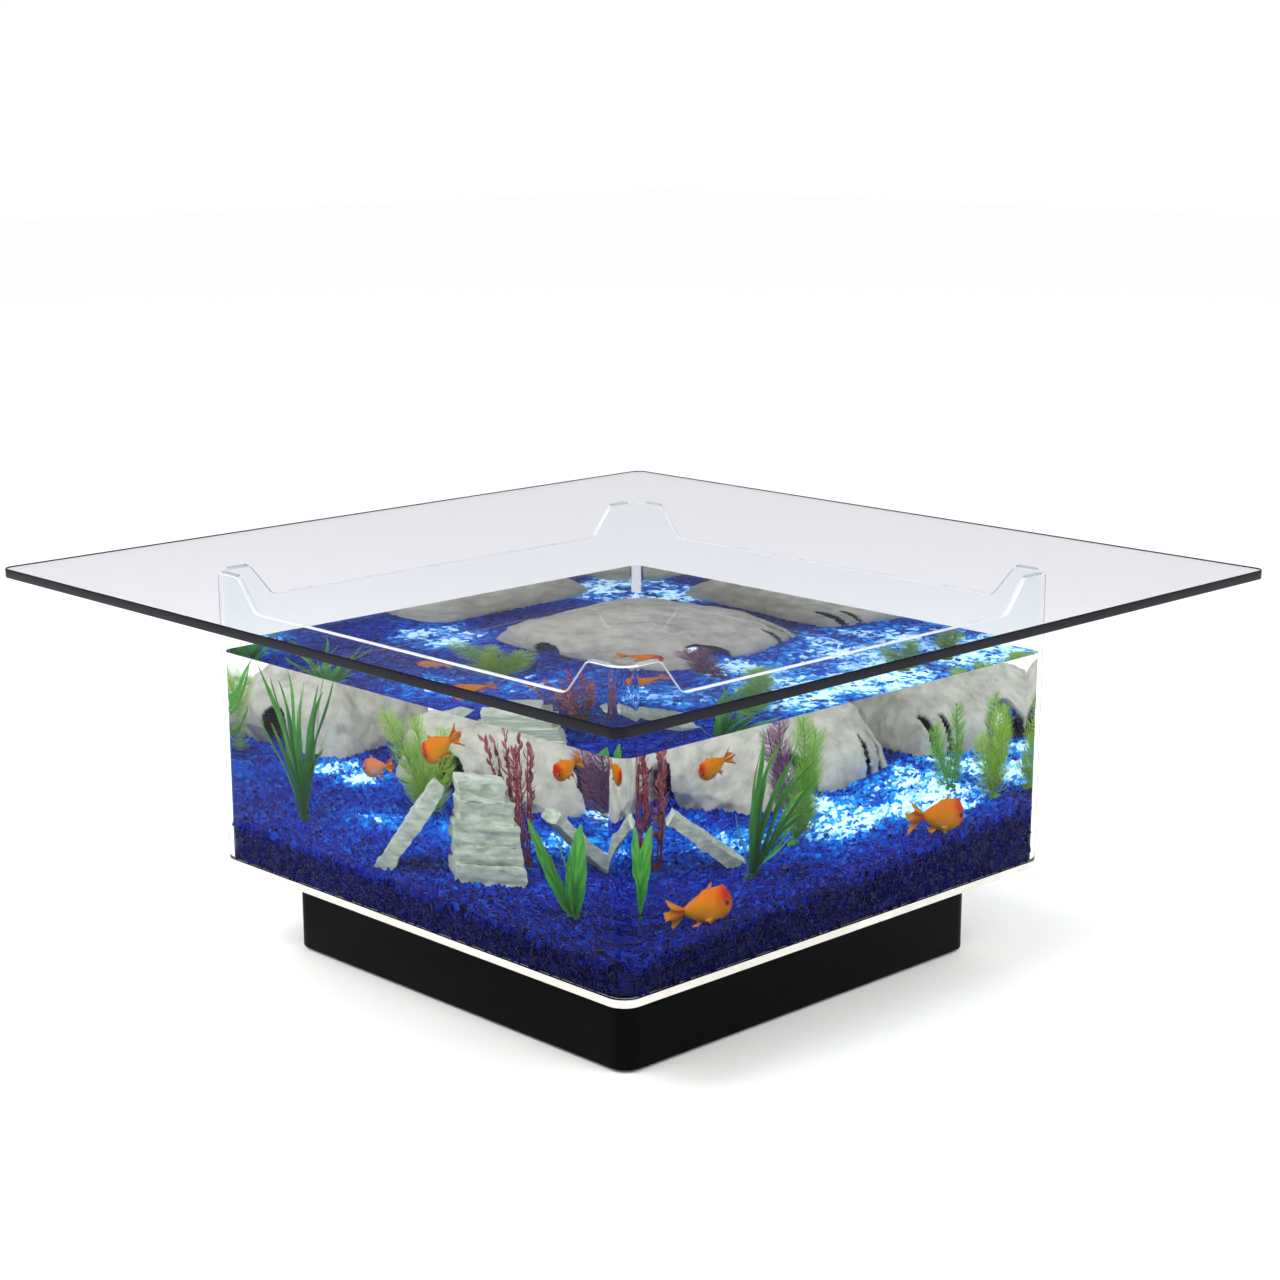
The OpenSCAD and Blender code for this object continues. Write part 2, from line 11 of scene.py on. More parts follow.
import bpy
import numpy as np
from mathutils import Matrix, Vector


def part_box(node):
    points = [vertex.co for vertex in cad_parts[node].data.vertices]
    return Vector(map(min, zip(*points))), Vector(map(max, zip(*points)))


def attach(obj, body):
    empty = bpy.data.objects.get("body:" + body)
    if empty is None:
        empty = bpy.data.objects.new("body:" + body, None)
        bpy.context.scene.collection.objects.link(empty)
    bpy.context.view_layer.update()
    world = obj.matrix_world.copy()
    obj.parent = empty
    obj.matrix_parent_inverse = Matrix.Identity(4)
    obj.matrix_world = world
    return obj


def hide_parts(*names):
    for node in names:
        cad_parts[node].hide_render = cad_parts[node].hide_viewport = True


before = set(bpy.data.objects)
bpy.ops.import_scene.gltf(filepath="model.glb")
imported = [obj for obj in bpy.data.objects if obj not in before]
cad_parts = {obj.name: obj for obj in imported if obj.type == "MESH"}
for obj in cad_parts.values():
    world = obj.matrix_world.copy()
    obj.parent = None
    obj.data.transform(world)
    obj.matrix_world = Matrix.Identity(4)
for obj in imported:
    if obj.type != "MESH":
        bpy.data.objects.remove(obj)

LOG = logging.getLogger("aquarium")
MM = 0.001
SEED = 24
# Large primes that scatter a lattice corner's three whole numbers and the seed over 31 bits.
HASH_AXES = np.array([73856093, 19349663, 83492791])
HASH_SEED = 2654435761
HASH_STEPS = ((13, 1274126177), (15, 668265263))
HASH_TOP = 0x7FFFFFFF
# A direction that no stem runs along, so that a tube's first half-axis is never nothing.
TUBE_GUIDE = np.array([0.31, 0.87, 0.11])
# Points closer than this are one point after welding.
WELD = 1e-7


# ---------------------------------------------------------------- small tools


def linear(hex_colour: str) -> tuple[float, float, float, float]:
    """Turns an sRGB hex colour into linear red, green, blue and alpha 1.

    Args:
        hex_colour: colour such as "#1a2b3c".

    Returns:
        The linear colour, with alpha 1.
    """
    srgb = [int(hex_colour[i : i + 2], 16) / 255 for i in (1, 3, 5)]
    lin = [c / 12.92 if c <= 0.04045 else ((c + 0.055) / 1.055) ** 2.4 for c in srgb]
    return (lin[0], lin[1], lin[2], 1.0)


def add_node(tree: bpy.types.NodeTree, kind: str, settings: dict | None = None,
             links: dict | None = None) -> bpy.types.Node:
    """Adds a node, sets its sockets or properties by name, and links its inputs.

    Args:
        tree: the node tree that gets the node.
        kind: the node's Blender type name.
        settings: socket names or numbers, or property names, with their values.
        links: input names or numbers, with the output sockets that feed them.

    Returns:
        The new node.
    """
    node = tree.nodes.new(kind)
    for key, value in (settings or {}).items():
        if isinstance(key, str) and hasattr(node, key):
            setattr(node, key, value)
        else:
            node.inputs[key].default_value = value
    for key, socket in (links or {}).items():
        tree.links.new(socket, node.inputs[key])
    return node


def lattice_noise(points: np.ndarray, cell: float, seed: int) -> np.ndarray:
    """Smooth noise between -1 and 1.

    Random values stand on a lattice of cubes. A point blends the eight corners of its cube,
    each weighted by the smoothstep 3f^2 - 2f^3 of the point's place f in the cube.

    Args:
        points: n by 3 places in metres.
        cell: side of a lattice cube in metres.
        seed: picks the random values.

    Returns:
        n values.
    """
    scaled = points / cell
    base = np.floor(scaled).astype(np.int64)
    part = scaled - base
    ease = part * part * (3 - 2 * part)
    total = np.zeros(len(points))
    for corner in itertools.product((0, 1), repeat=3):
        key = (base + corner) * HASH_AXES
        mix = key[:, 0] ^ key[:, 1] ^ key[:, 2] ^ (seed * HASH_SEED)
        for shift, factor in HASH_STEPS:
            mix = ((mix ^ (mix >> shift)) * factor) & HASH_TOP
        weight = np.prod(np.where(corner, ease, 1 - ease), axis=1)
        total += (mix / (HASH_TOP // 2) - 1) * weight
    return total


def fractal(points: np.ndarray, cell: float, octaves: int, seed: int) -> np.ndarray:
    """Sum of lattice noises, each with half the cell and half the height of the one before.

    Args:
        points: n by 3 places in metres.
        cell: the first noise's cell in metres.
        octaves: how many noises are added.
        seed: picks the random values.

    Returns:
        n values, between -2 and 2.
    """
    return sum(lattice_noise(points, cell / 2**k, seed + k) / 2**k for k in range(octaves))


def unit(vectors: np.ndarray) -> np.ndarray:
    """Each row divided by its length."""
    return vectors / np.maximum(np.linalg.norm(vectors, axis=-1, keepdims=True), 1e-12)


def turn_z(degrees: float) -> np.ndarray:
    """Returns the matrix that turns points about +Z by the right-hand rule."""
    c, s = math.cos(math.radians(degrees)), math.sin(math.radians(degrees))
    return np.array([[c, -s, 0], [s, c, 0], [0, 0, 1]])


def turn_y(degrees: float) -> np.ndarray:
    """Returns the matrix that turns points about +Y, so that +Z leans towards +X."""
    c, s = math.cos(math.radians(degrees)), math.sin(math.radians(degrees))
    return np.array([[c, 0, s], [0, 1, 0], [-s, 0, c]])


def aimed(spin: np.ndarray, tilt: np.ndarray) -> np.ndarray:
    """Matrices that tilt +X up by one angle, then turn it about +Z by another.

    Args:
        spin: n angles about +Z, in radians.
        tilt: n angles above level, in radians.

    Returns:
        n matrices.
    """
    c, d, e, f = np.cos(spin), np.sin(spin), np.cos(tilt), np.sin(tilt)
    zero = 0 * c
    return np.stack([c * e, -d, -c * f, d * e, c, -d * f, f, zero, e], axis=-1).reshape(-1, 3, 3)


def aligned(back: np.ndarray, place: np.ndarray, roll: float = 0.0) -> Matrix:
    """World matrix of a camera or lamp that looks against a direction, upright but for its roll.

    Args:
        back: unit direction from what is looked at to the place.
        place: where the thing stands.
        roll: turn about its own axis, in radians.

    Returns:
        The matrix.
    """
    right = unit(np.cross([0, 0, 1.0], back))
    up = np.cross(back, right)
    c, s = math.cos(roll), math.sin(roll)
    matrix = np.eye(4)
    matrix[:3] = np.stack([c * right + s * up, c * up - s * right, back, place], axis=1)
    return Matrix(matrix.tolist())


# ---------------------------------------------------------------- surfaces


@dataclass
class Surface:
    """Points, faces, and for each point a tone between 0 and 1 that its finish reads.

    slots gives each face group's material number.
    """

    points: np.ndarray
    faces: list[np.ndarray]
    tone: np.ndarray | None = None
    slots: list[int] = field(default_factory=list)

    def moved(self, matrix: np.ndarray, offset: np.ndarray) -> "Surface":
        """Returns the surface turned by matrix, then shifted by offset."""
        return Surface(self.points @ matrix.T + offset, self.faces, self.tone, self.slots)


def grid_faces(rows: int, cols: int, wrap_rows: bool = False, wrap_cols: bool = False) -> np.ndarray:
    """Four-sided faces of a grid of points stored row by row.

    Face (i, j) joins points (i, j), (i, j + 1), (i + 1, j + 1) and (i + 1, j).

    Args:
        rows: lines of points.
        cols: points in a line.
        wrap_rows: joins the last line to the first.
        wrap_cols: joins each line's last point to its first.

    Returns:
        n by 4 point numbers.
    """
    across, along = np.arange(rows - (not wrap_rows)), np.arange(cols - (not wrap_cols))
    i, j = np.meshgrid(across, along, indexing="ij")
    i2, j2 = (i + 1) % rows, (j + 1) % cols
    return np.stack([i * cols + j, i * cols + j2, i2 * cols + j2, i2 * cols + j], axis=-1).reshape(-1, 4)


def joined(surfaces: list[Surface]) -> Surface:
    """Puts surfaces together, with their points and faces stacked.

    Args:
        surfaces: the surfaces, in order.

    Returns:
        One surface. A point without a tone gets 0.5.
    """
    points, faces, tones, slots, start = [], [], [], [], 0
    for part in surfaces:
        points.append(part.points)
        faces += [f + start for f in part.faces]
        slots += part.slots or [0] * len(part.faces)
        tones.append(part.tone if part.tone is not None else np.full(len(part.points), 0.5))
        start += len(part.points)
    return Surface(np.concatenate(points), faces, np.concatenate(tones), slots)


def copies(base: Surface, matrices: np.ndarray, offsets: np.ndarray, tones: np.ndarray) -> Surface:
    """Many copies of a small surface in one array step: point = matrix times base point plus offset.

    Args:
        base: the surface that is copied.
        matrices: n matrices, 3 by 3.
        offsets: n places.
        tones: n tones, added to the base's own.

    Returns:
        One surface with all n copies.
    """
    count, size = len(offsets), len(base.points)
    points = np.einsum("kij,nj->kni", matrices, base.points) + offsets[:, None, :]
    shift = (np.arange(count) * size)[:, None, None]
    faces = [(f[None] + shift).reshape(-1, f.shape[1]) for f in base.faces]
    tone = np.clip(tones[:, None] + base.tone[None], 0, 1).reshape(-1)
    return Surface(points.reshape(-1, 3), faces, tone, base.slots)


def tube(path: np.ndarray, radius: np.ndarray, sides: int, flat: float = 1.0,
         across: np.ndarray | None = None, tone: np.ndarray | float = 0.5) -> Surface:
    """A closed tube along a path: ring k is an ellipse of half-width radius[k] across the path.

    The ring's second half-axis is flat times the first. Both ends close on a point of their own.

    Args:
        path: n by 3 points.
        radius: n half-widths.
        sides: points round each ring.
        flat: second half-axis as a share of the first.
        across: n by 3 directions of the first half-axis; a steady one is worked out if left out.
        tone: n tones, or one for all.

    Returns:
        The closed surface.
    """
    along = unit(np.gradient(path, axis=0))
    if across is None:
        across = np.cross(along, TUBE_GUIDE)
    across = unit(across - (across * along).sum(1, keepdims=True) * along)
    other = np.cross(along, across)
    angle = np.arange(sides) * 2 * math.pi / sides
    spokes = (np.cos(angle)[None, :, None] * across[:, None]
              + flat * np.sin(angle)[None, :, None] * other[:, None])
    rings = path[:, None] + radius[:, None, None] * spokes
    n = len(path)
    points = np.concatenate([rings.reshape(-1, 3), path[:1], path[-1:]])
    k = np.arange(sides)
    first = np.stack([(k + 1) % sides, k, np.full(sides, n * sides)], axis=-1)
    last = np.stack([k, (k + 1) % sides, np.full(sides, n * sides + 1)], axis=-1)
    last[:, :2] += (n - 1) * sides
    tone = np.zeros(n) + tone
    tones = np.concatenate([np.repeat(tone, sides), tone[:1], tone[-1:]])
    return Surface(points, [grid_faces(n, sides, wrap_cols=True), first, last], tones, [0, 0, 0])


def welded(surface: Surface) -> Surface:
    """Makes points at one place into one point.

    Args:
        surface: a surface with doubled points.

    Returns:
        The same shape without doubled points.
    """
    key = np.round(surface.points / WELD).astype(np.int64)
    _, first, back = np.unique(key, axis=0, return_index=True, return_inverse=True)
    back = back.reshape(-1)
    tone = None if surface.tone is None else surface.tone[first]
    return Surface(surface.points[first], [back[f] for f in surface.faces], tone, surface.slots)


def sheet(grid: np.ndarray, thick: float, tone: np.ndarray) -> Surface:
    """A thin closed leaf about a grid of points, thickest in the middle and nothing at its rim.

    The two sides stand off the grid by thick / 2 times (1 - u^4)(1 - v^4), for u and v from
    -1 to 1 across the grid.

    Args:
        grid: rows by columns by 3 points of the leaf's middle.
        thick: thickness in the middle.
        tone: a tone for each point of the grid.

    Returns:
        The closed surface.
    """
    rows, cols = grid.shape[:2]
    du, dv = np.gradient(grid, axis=0), np.gradient(grid, axis=1)
    normal = unit(np.cross(du, dv))
    u, v = np.linspace(-1, 1, rows)[:, None], np.linspace(-1, 1, cols)[None]
    lift = (thick / 2 * (1 - u**4) * (1 - v**4))[..., None] * normal
    points = np.concatenate([(grid + lift).reshape(-1, 3), (grid - lift).reshape(-1, 3)])
    faces = grid_faces(rows, cols)
    under = faces[:, ::-1] + rows * cols
    tone = np.tile((np.zeros((rows, cols)) + tone).reshape(-1), 2)
    return welded(Surface(points, [faces[:, ::-1], under[:, ::-1]], tone, [0, 0]))


def block(size: np.ndarray, step: float) -> Surface:
    """A closed box of small faces, standing on z = 0 about the origin.

    Each of the six sides is a grid; sides share the points along their edges.

    Args:
        size: the box's three sides.
        step: about how wide a face is.

    Returns:
        The closed surface.
    """
    parts = []
    for axis, sign in itertools.product(range(3), (-1, 1)):
        a, b = [k for k in range(3) if k != axis]
        n, m = (max(2, int(size[k] / step) + 1) for k in (a, b))
        u, v = np.meshgrid(np.linspace(-0.5, 0.5, n), np.linspace(-0.5, 0.5, m), indexing="ij")
        points = np.zeros((n * m, 3))
        points[:, axis], points[:, a], points[:, b] = sign / 2, u.reshape(-1), v.reshape(-1)
        faces = grid_faces(n, m)
        outward = (sign > 0) == (axis == 1)
        faces = faces if outward else faces[:, ::-1]
        parts.append(Surface((points + [0, 0, 0.5]) * size, [faces], None, [0]))
    return welded(joined(parts))


def put(name: str, surface: Surface, finishes: list[bpy.types.Material], body: str,
        replaces: tuple[str, ...] = (), sharp: float = 35.0,
        flat: tuple[int, ...] = ()) -> bpy.types.Object:
    """Makes a surface a piece of the object, riding on a body.

    Args:
        name: the piece's name.
        surface: its points and faces.
        finishes: one material for each slot number that the surface uses.
        body: the body it rides on.
        replaces: the plain nodes that it stands for.
        sharp: edges that bend more than this many degrees stay sharp.
        flat: face groups that are shaded flat, so that a clear plate doesn't act as a lens.

    Returns:
        The new object.
    """
    mesh = bpy.data.meshes.new(name)
    sizes = np.concatenate([np.full(len(f), f.shape[1]) for f in surface.faces])
    loops = np.concatenate([f.reshape(-1) for f in surface.faces]).astype(np.int32)
    slots = surface.slots or [0] * len(surface.faces)
    mesh.vertices.add(len(surface.points))
    mesh.vertices.foreach_set("co", surface.points.astype(np.float32).reshape(-1))
    mesh.loops.add(len(loops))
    mesh.loops.foreach_set("vertex_index", loops)
    mesh.polygons.add(len(sizes))
    starts = np.concatenate([[0], np.cumsum(sizes)[:-1]]).astype(np.int32)
    mesh.polygons.foreach_set("loop_start", starts)
    numbers = np.concatenate([np.full(len(f), s) for f, s in zip(surface.faces, slots)])
    mesh.polygons.foreach_set("material_index", numbers.astype(np.int32))
    mesh.update(calc_edges=True)
    mesh.validate()
    if surface.tone is not None:
        layer = mesh.attributes.new("tone", "FLOAT", "POINT")
        layer.data.foreach_set("value", surface.tone.astype(np.float32))
    mesh.shade_smooth()
    mesh.set_sharp_from_angle(angle=math.radians(sharp))
    if flat:
        smooth = np.concatenate([np.full(len(f), n not in flat) for n, f in enumerate(surface.faces)])
        mesh.polygons.foreach_set("use_smooth", smooth)
    for finish in finishes:
        mesh.materials.append(finish)
    piece = bpy.data.objects.new(name, mesh)
    bpy.context.scene.collection.objects.link(piece)
    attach(piece, body)
    if replaces:
        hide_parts(*replaces)
    LOG.info("%s: %d faces on %s", name, len(sizes), body)
    return piece


def dress(node: str, finish: bpy.types.Material) -> None:
    """Gives a construction node its finish.

    Args:
        node: the node's name.
        finish: its material.
    """
    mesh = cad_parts[node].data
    mesh.materials.clear()
    mesh.materials.append(finish)
    LOG.info("%s: dressed", node)


def box_of(node: str) -> tuple[np.ndarray, np.ndarray]:
    """Returns the lowest and highest corner of a construction node, as arrays."""
    low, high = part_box(node)
    return np.array(low), np.array(high)


# ---------------------------------------------------------------- finishes


class Reads(Enum):
    """What a finish's colours follow."""

    GRAIN = "a noise of the material's own grain"
    TONE = "the tone stored on the surface"


@dataclass(frozen=True)
class Finish:
    """An opaque finish: colours along a scale, gloss that varies, and a fine relief.

    colours are (place, hex) pairs along the scale. grain_mm and relief_mm are the widths of the
    colour grain and of the relief; relief is the relief's height in millimetres. glow lights the
    finish, above glow_above on the scale where that is given.
    """

    name: str
    colours: tuple[tuple[float, str], ...]
    roughness: float = 0.5
    rough_spread: float = 0.08
    metallic: float = 0.0
    grain_mm: float = 20.0
    grain_detail: float = 4.0
    relief_mm: float = 3.0
    relief: float = 0.05
    reads: Reads = Reads.GRAIN
    tone_noise: float = 0.0
    coat: float = 0.0
    see_through: float = 0.0
    under_skin: float = 0.0
    glow: float = 0.0
    glow_above: float = 0.0
    stretch: tuple[float, float, float] = (1.0, 1.0, 1.0)
    bend: float = 1.5

    def scale(self, tree: bpy.types.NodeTree, grain: bpy.types.NodeSocket) -> bpy.types.NodeSocket:
        """Makes the scale that the colours are read along.

        Args:
            tree: the material's nodes.
            grain: the grain noise, mostly 0.3 to 0.7.

        Returns:
            The grain itself, or the surface's tone with some grain added.
        """
        if self.reads is Reads.GRAIN:
            return grain
        tone = add_node(tree, "ShaderNodeAttribute", {"attribute_name": "tone"})
        spread = add_node(tree, "ShaderNodeMapRange", GRAIN_RANGE | {
            "To Min": -self.tone_noise, "To Max": self.tone_noise}, {"Value": grain})
        total = add_node(tree, "ShaderNodeMath", {"operation": "ADD", "use_clamp": True},
                         {0: tone.outputs["Fac"], 1: spread.outputs["Result"]})
        return total.outputs["Value"]

    def made(self) -> bpy.types.Material:
        """Builds the material.

        Returns:
            The material, with its colour, gloss, relief and glow.
        """
        material = bpy.data.materials.new(self.name)
        material.use_nodes = True
        tree = material.node_tree
        shader = tree.nodes["Principled BSDF"]
        place = add_node(tree, "ShaderNodeTexCoord")
        mapped = add_node(tree, "ShaderNodeMapping", {"Scale": self.stretch},
                          {"Vector": place.outputs["Object"]})
        vector = {"Vector": mapped.outputs["Vector"]}
        grain = add_node(tree, "ShaderNodeTexNoise", {
            "Scale": 1 / (self.grain_mm * MM), "Detail": self.grain_detail, "Roughness": 0.62}, vector)
        scale = self.scale(tree, grain.outputs["Fac"])
        ramp = add_node(tree, "ShaderNodeValToRGB", links={"Fac": scale})
        while len(ramp.color_ramp.elements) < len(self.colours):
            ramp.color_ramp.elements.new(1.0)
        for element, (at, hex_colour) in zip(ramp.color_ramp.elements, self.colours):
            element.position = at
            element.color = linear(hex_colour)
        tree.links.new(ramp.outputs["Color"], shader.inputs["Base Color"])
        gloss = add_node(tree, "ShaderNodeMapRange", GRAIN_RANGE | {
            "To Min": max(0.02, self.roughness - self.rough_spread),
            "To Max": min(1.0, self.roughness + self.rough_spread)}, {"Value": grain.outputs["Fac"]})
        tree.links.new(gloss.outputs["Result"], shader.inputs["Roughness"])
        if self.relief > 0:
            fine = add_node(tree, "ShaderNodeTexNoise",
                            {"Scale": 1 / (self.relief_mm * MM), "Detail": 3.0}, vector)
            bump = add_node(tree, "ShaderNodeBump", {"Strength": 0.6, "Distance": self.relief * MM},
                            {"Height": fine.outputs["Fac"]})
            tree.links.new(bump.outputs["Normal"], shader.inputs["Normal"])
        plain = {"Metallic": self.metallic, "Coat Weight": self.coat, "Transmission Weight": self.see_through}
        if self.metallic == 0:
            plain["IOR"] = self.bend
        if self.under_skin > 0:
            plain |= {"Subsurface Weight": self.under_skin, "Subsurface Scale": SKIN_DEPTH}
        if self.glow > 0:
            tree.links.new(ramp.outputs["Color"], shader.inputs["Emission Color"])
            plain["Emission Strength"] = self.glow
        for socket, value in plain.items():
            shader.inputs[socket].default_value = value
        if self.glow_above > 0:
            lit = add_node(tree, "ShaderNodeMapRange", {
                "From Min": self.glow_above, "From Max": 1.0, "To Max": self.glow}, {"Value": scale})
            tree.links.new(lit.outputs["Result"], shader.inputs["Emission Strength"])
        return material


@dataclass(frozen=True)
class Clear:
    """A clear polished solid: it bends light, and lets lamp light through to what it holds.

    tint is the colour that light keeps at each face; shade is what a shadow ray keeps. The
    mirror's share is the Fresnel share to the power of calm: above 1 it quiets pale
    reflections, as a bloomed surface does, and leaves total reflection whole. swirl_mm is the
    width of a very low wave on the surface.
    """

    name: str
    tint: str
    ior: float
    shade: str
    calm: float = 1.9
    swirl_mm: float = 0.0

    def made(self) -> bpy.types.Material:
        """Builds the material.

        Returns:
            The material: refraction and mirror for the eye, plain tinted passage for shadow rays.
        """
        material = bpy.data.materials.new(self.name)
        material.use_nodes = True
        tree = material.node_tree
        tree.nodes.remove(tree.nodes["Principled BSDF"])
        relief = {}
        if self.swirl_mm > 0:
            place = add_node(tree, "ShaderNodeTexCoord")
            wave = add_node(tree, "ShaderNodeTexNoise", {"Scale": 1 / (self.swirl_mm * MM), "Detail": 1.0},
                            {"Vector": place.outputs["Object"]})
            bump = add_node(tree, "ShaderNodeBump", {"Strength": 0.25, "Distance": 0.4 * MM},
                            {"Height": wave.outputs["Fac"]})
            relief = {"Normal": bump.outputs["Normal"]}
        through = add_node(tree, "ShaderNodeBsdfRefraction", {
            "Color": linear(self.tint), "IOR": self.ior, "Roughness": 0.0}, relief)
        mirror = add_node(tree, "ShaderNodeBsdfGlossy", {"Color": (1, 1, 1, 1), "Roughness": 0.0}, relief)
        share = add_node(tree, "ShaderNodeFresnel", {"IOR": self.ior}, relief)
        calmed = add_node(tree, "ShaderNodeMath", {"operation": "POWER", 1: self.calm},
                          {0: share.outputs["Fac"]})
        glass = add_node(tree, "ShaderNodeMixShader", links={
            0: calmed.outputs["Value"], 1: through.outputs["BSDF"], 2: mirror.outputs["BSDF"]})
        path = add_node(tree, "ShaderNodeLightPath")
        passage = add_node(tree, "ShaderNodeBsdfTransparent", {"Color": linear(self.shade)})
        mix = add_node(tree, "ShaderNodeMixShader", links={
            0: path.outputs["Is Shadow Ray"], 1: glass.outputs["Shader"], 2: passage.outputs["BSDF"]})
        tree.links.new(mix.outputs["Shader"], tree.nodes["Material Output"].inputs["Surface"])
        return material


# A noise's values lie mostly in this range.
GRAIN_RANGE = {"From Min": 0.3, "From Max": 0.7}
# How far light spreads under a leaf's or a fish's skin, in metres.
SKIN_DEPTH = 0.004
# Under water a plastic or stone surface mirrors little: its bending against water is about 1.5 / 1.333.
WET = 1.16
# Float glass, polished: a faint grey-blue body, as thick plate shows over white.
FLOAT_GLASS = Clear("float_glass_polished", "#fbfbfe", 1.52, "#f6f7f9", 1.7)
# Cast acrylic sheet, flame polished: nearly colourless, brighter edges than glass.
CAST_ACRYLIC = Clear("cast_acrylic_polished", "#fcfefe", 1.49, "#fbfdfd")
# Acrylic sheet, sawn and scraped edge: a pale scraped edge, plus a painted glow that stands in for the light
# it gathers from the whole sheet and shows as a white line.
ACRYLIC_EDGE = Finish("cast_acrylic_scraped_edge_painted_glow", ((0.3, "#eef3f5"), (0.7, "#ffffff")), 0.3, 0.1,
                      grain_mm=30, relief=0.0, glow=0.3)
# Opal acrylic, cast: a milky panel whose edge reads as an ivory line.
OPAL_ACRYLIC = Finish("opal_acrylic_cast", ((0.3, "#e9e6da"), (0.7, "#f8f6ee")), 0.25,
                      grain_mm=60, relief=0.0, see_through=0.2)
# Fresh water: the lowest bending of the three, with a barely moving top.
WATER = Clear("fresh_water_still", "#fbfdff", 1.333, "#f8fcff", 1.6, 60.0)
# Ground and polished plate edge, painted near black as shade: the colour stands in for the dark look that
# light trapped in the plate gives.
GLASS_EDGE = Finish("float_glass_edge_painted_shade", ((0.3, "#0d0e14"), (0.7, "#181922")), 0.3, 0.06,
                    grain_mm=160, relief=0.0, bend=1.22)
# Sprayed lacquer: deep black with a soft, slightly orange-peeled sheen.
LACQUER = Finish("black_lacquer_sprayed", ((0.3, "#020304"), (0.7, "#040507")), 0.45, 0.06,
                 grain_mm=90, relief_mm=1.4, relief=0.02, bend=1.12)
# Stained fibreboard: dull and brown-black, with a dusty fine grain.
BOARD = Finish("fibreboard_stained", ((0.3, "#1d1a18"), (0.7, "#2b2724")), 0.8, 0.05,
               grain_mm=4, relief_mm=0.8)
# Sawn pine: pale, matt, with a long grain drawn out along the board.
PINE = Finish("pine_sawn", ((0.3, "#b98d58"), (0.7, "#d2ad78")), 0.7,
              grain_mm=14, relief_mm=1.5, relief=0.15, stretch=(0.12, 0.12, 1.0))
# Zinc plate on steel: a cloudy, slightly yellow metal.
ZINC = Finish("steel_zinc_plated", ((0.3, "#b4b1a2"), (0.7, "#d0cdc0")), 0.35, 0.1, 1.0,
              grain_mm=3, relief=0.02)
# Moulded nylon: a waxy black that scatters a weak highlight.
NYLON = Finish("nylon_moulded_black", ((0.3, "#131315"), (0.7, "#1c1c1f")), 0.55, 0.06,
               grain_mm=6, relief_mm=0.7)
# Closed-cell foam: nearly no highlight, and a pore-sized mottle.
FOAM = Finish("closed_cell_foam_sheet", ((0.3, "#15161a"), (0.7, "#24262b")), 0.9, 0.05,
              grain_mm=1.2, relief_mm=1.0, relief=0.2)
# Soft clear vinyl: light goes through the pad, which looks faintly milky.
VINYL = Finish("soft_vinyl_clear", ((0.3, "#e4eaea"), (0.7, "#f1f5f5")), 0.2, 0.05,
               grain_mm=8, see_through=0.85, relief=0.0)
# Moulded ABS: a fine spark-eroded texture that breaks up the highlight.
ABS = Finish("abs_moulded_black", ((0.3, "#16181c"), (0.7, "#22252b")), 0.42,
             grain_mm=5, relief_mm=0.6, relief=0.04)
# Nitrile rubber: flat black, duller than the plastic round it.
RUBBER = Finish("nitrile_moulded", ((0.3, "#141415"), (0.7, "#202022")), 0.7, 0.06,
                grain_mm=3, relief_mm=0.8)
# Potting resin: glossy brown, with a poured unevenness.
RESIN = Finish("epoxy_potted", ((0.3, "#3a2416"), (0.7, "#54371f")), 0.25, grain_mm=9)
# Acetal: clean white with a soft, slippery sheen.
ACETAL = Finish("acetal_moulded_white", ((0.3, "#dcdfe1"), (0.7, "#eef0f1")), 0.35, 0.06, grain_mm=6)
# Ground alumina: warm white and nearly mirror smooth.
CERAMIC = Finish("alumina_ground", ((0.3, "#e8e5dc"), (0.7, "#f6f4ee")), 0.2, 0.04, grain_mm=2, relief=0.01)
# Filter foam: open pores, with painted shade: the colour is dark where the relief sinks into the holes and
# grey on the struts.
SPONGE = Finish("reticulated_foam_cut", ((0.3, "#14171c"), (0.7, "#3a4048")), 0.95, 0.04,
                grain_mm=1.6, relief_mm=1.6, relief=0.8)
# Smoked vinyl: dark, glossy, with some light passing through the thin lips.
SUCTION = Finish("vinyl_moulded_smoked", ((0.3, "#2b2c2f"), (0.7, "#3c3e42")), 0.25, 0.05,
                 grain_mm=6, see_through=0.3)
# White solder mask: even and slightly glossy, with a weave showing through.
CIRCUIT = Finish("circuit_board_white_masked", ((0.35, "#dfe4cf"), (0.65, "#f3f4ea")), 0.4, 0.06,
                 grain_mm=2.5)
# Frosted lens over burning diodes: a cold white glow.
LED_LENS = Finish("acrylic_lens_frosted_lit", ((0.3, "#d9f1ff"), (0.7, "#f4fcff")), 0.3, 0.05,
                  grain_mm=3, relief=0.02, glow=1.6)
# Turned and anodised aluminium: a grey metal with a satin ring of light.
ANODISED = Finish("aluminium_anodised_turned", ((0.3, "#b4b8bc"), (0.7, "#c8ccd0")), 0.3, metallic=1.0,
                  grain_mm=1.0, relief=0.01)
# Drawn stainless wire: a bright narrow highlight.
STEEL_PIN = Finish("stainless_steel_drawn", ((0.3, "#b9babc"), (0.7, "#cfd0d2")), 0.25, 0.06, 1.0,
                   grain_mm=2, relief=0.01)
# Crushed gravel with a coloured resin coat: glossy chips from navy through cobalt, and up to pale ice blue
# where lamplight is painted on; above 0.6 on the scale the chips glow as painted light.
GRAVEL = Finish("crushed_gravel_resin_coated_painted_lamplight", (
    (0.0, "#07082e"), (0.18, "#0e1468"), (0.4, "#1434b8"), (0.6, "#1068e0"), (0.8, "#18b0fa"),
    (1.0, "#dcf9ff")), 0.28, 0.1, grain_mm=3, relief_mm=1.2, relief=0.1, reads=Reads.TONE,
    tone_noise=0.05, bend=WET, glow=0.6, glow_above=0.6)
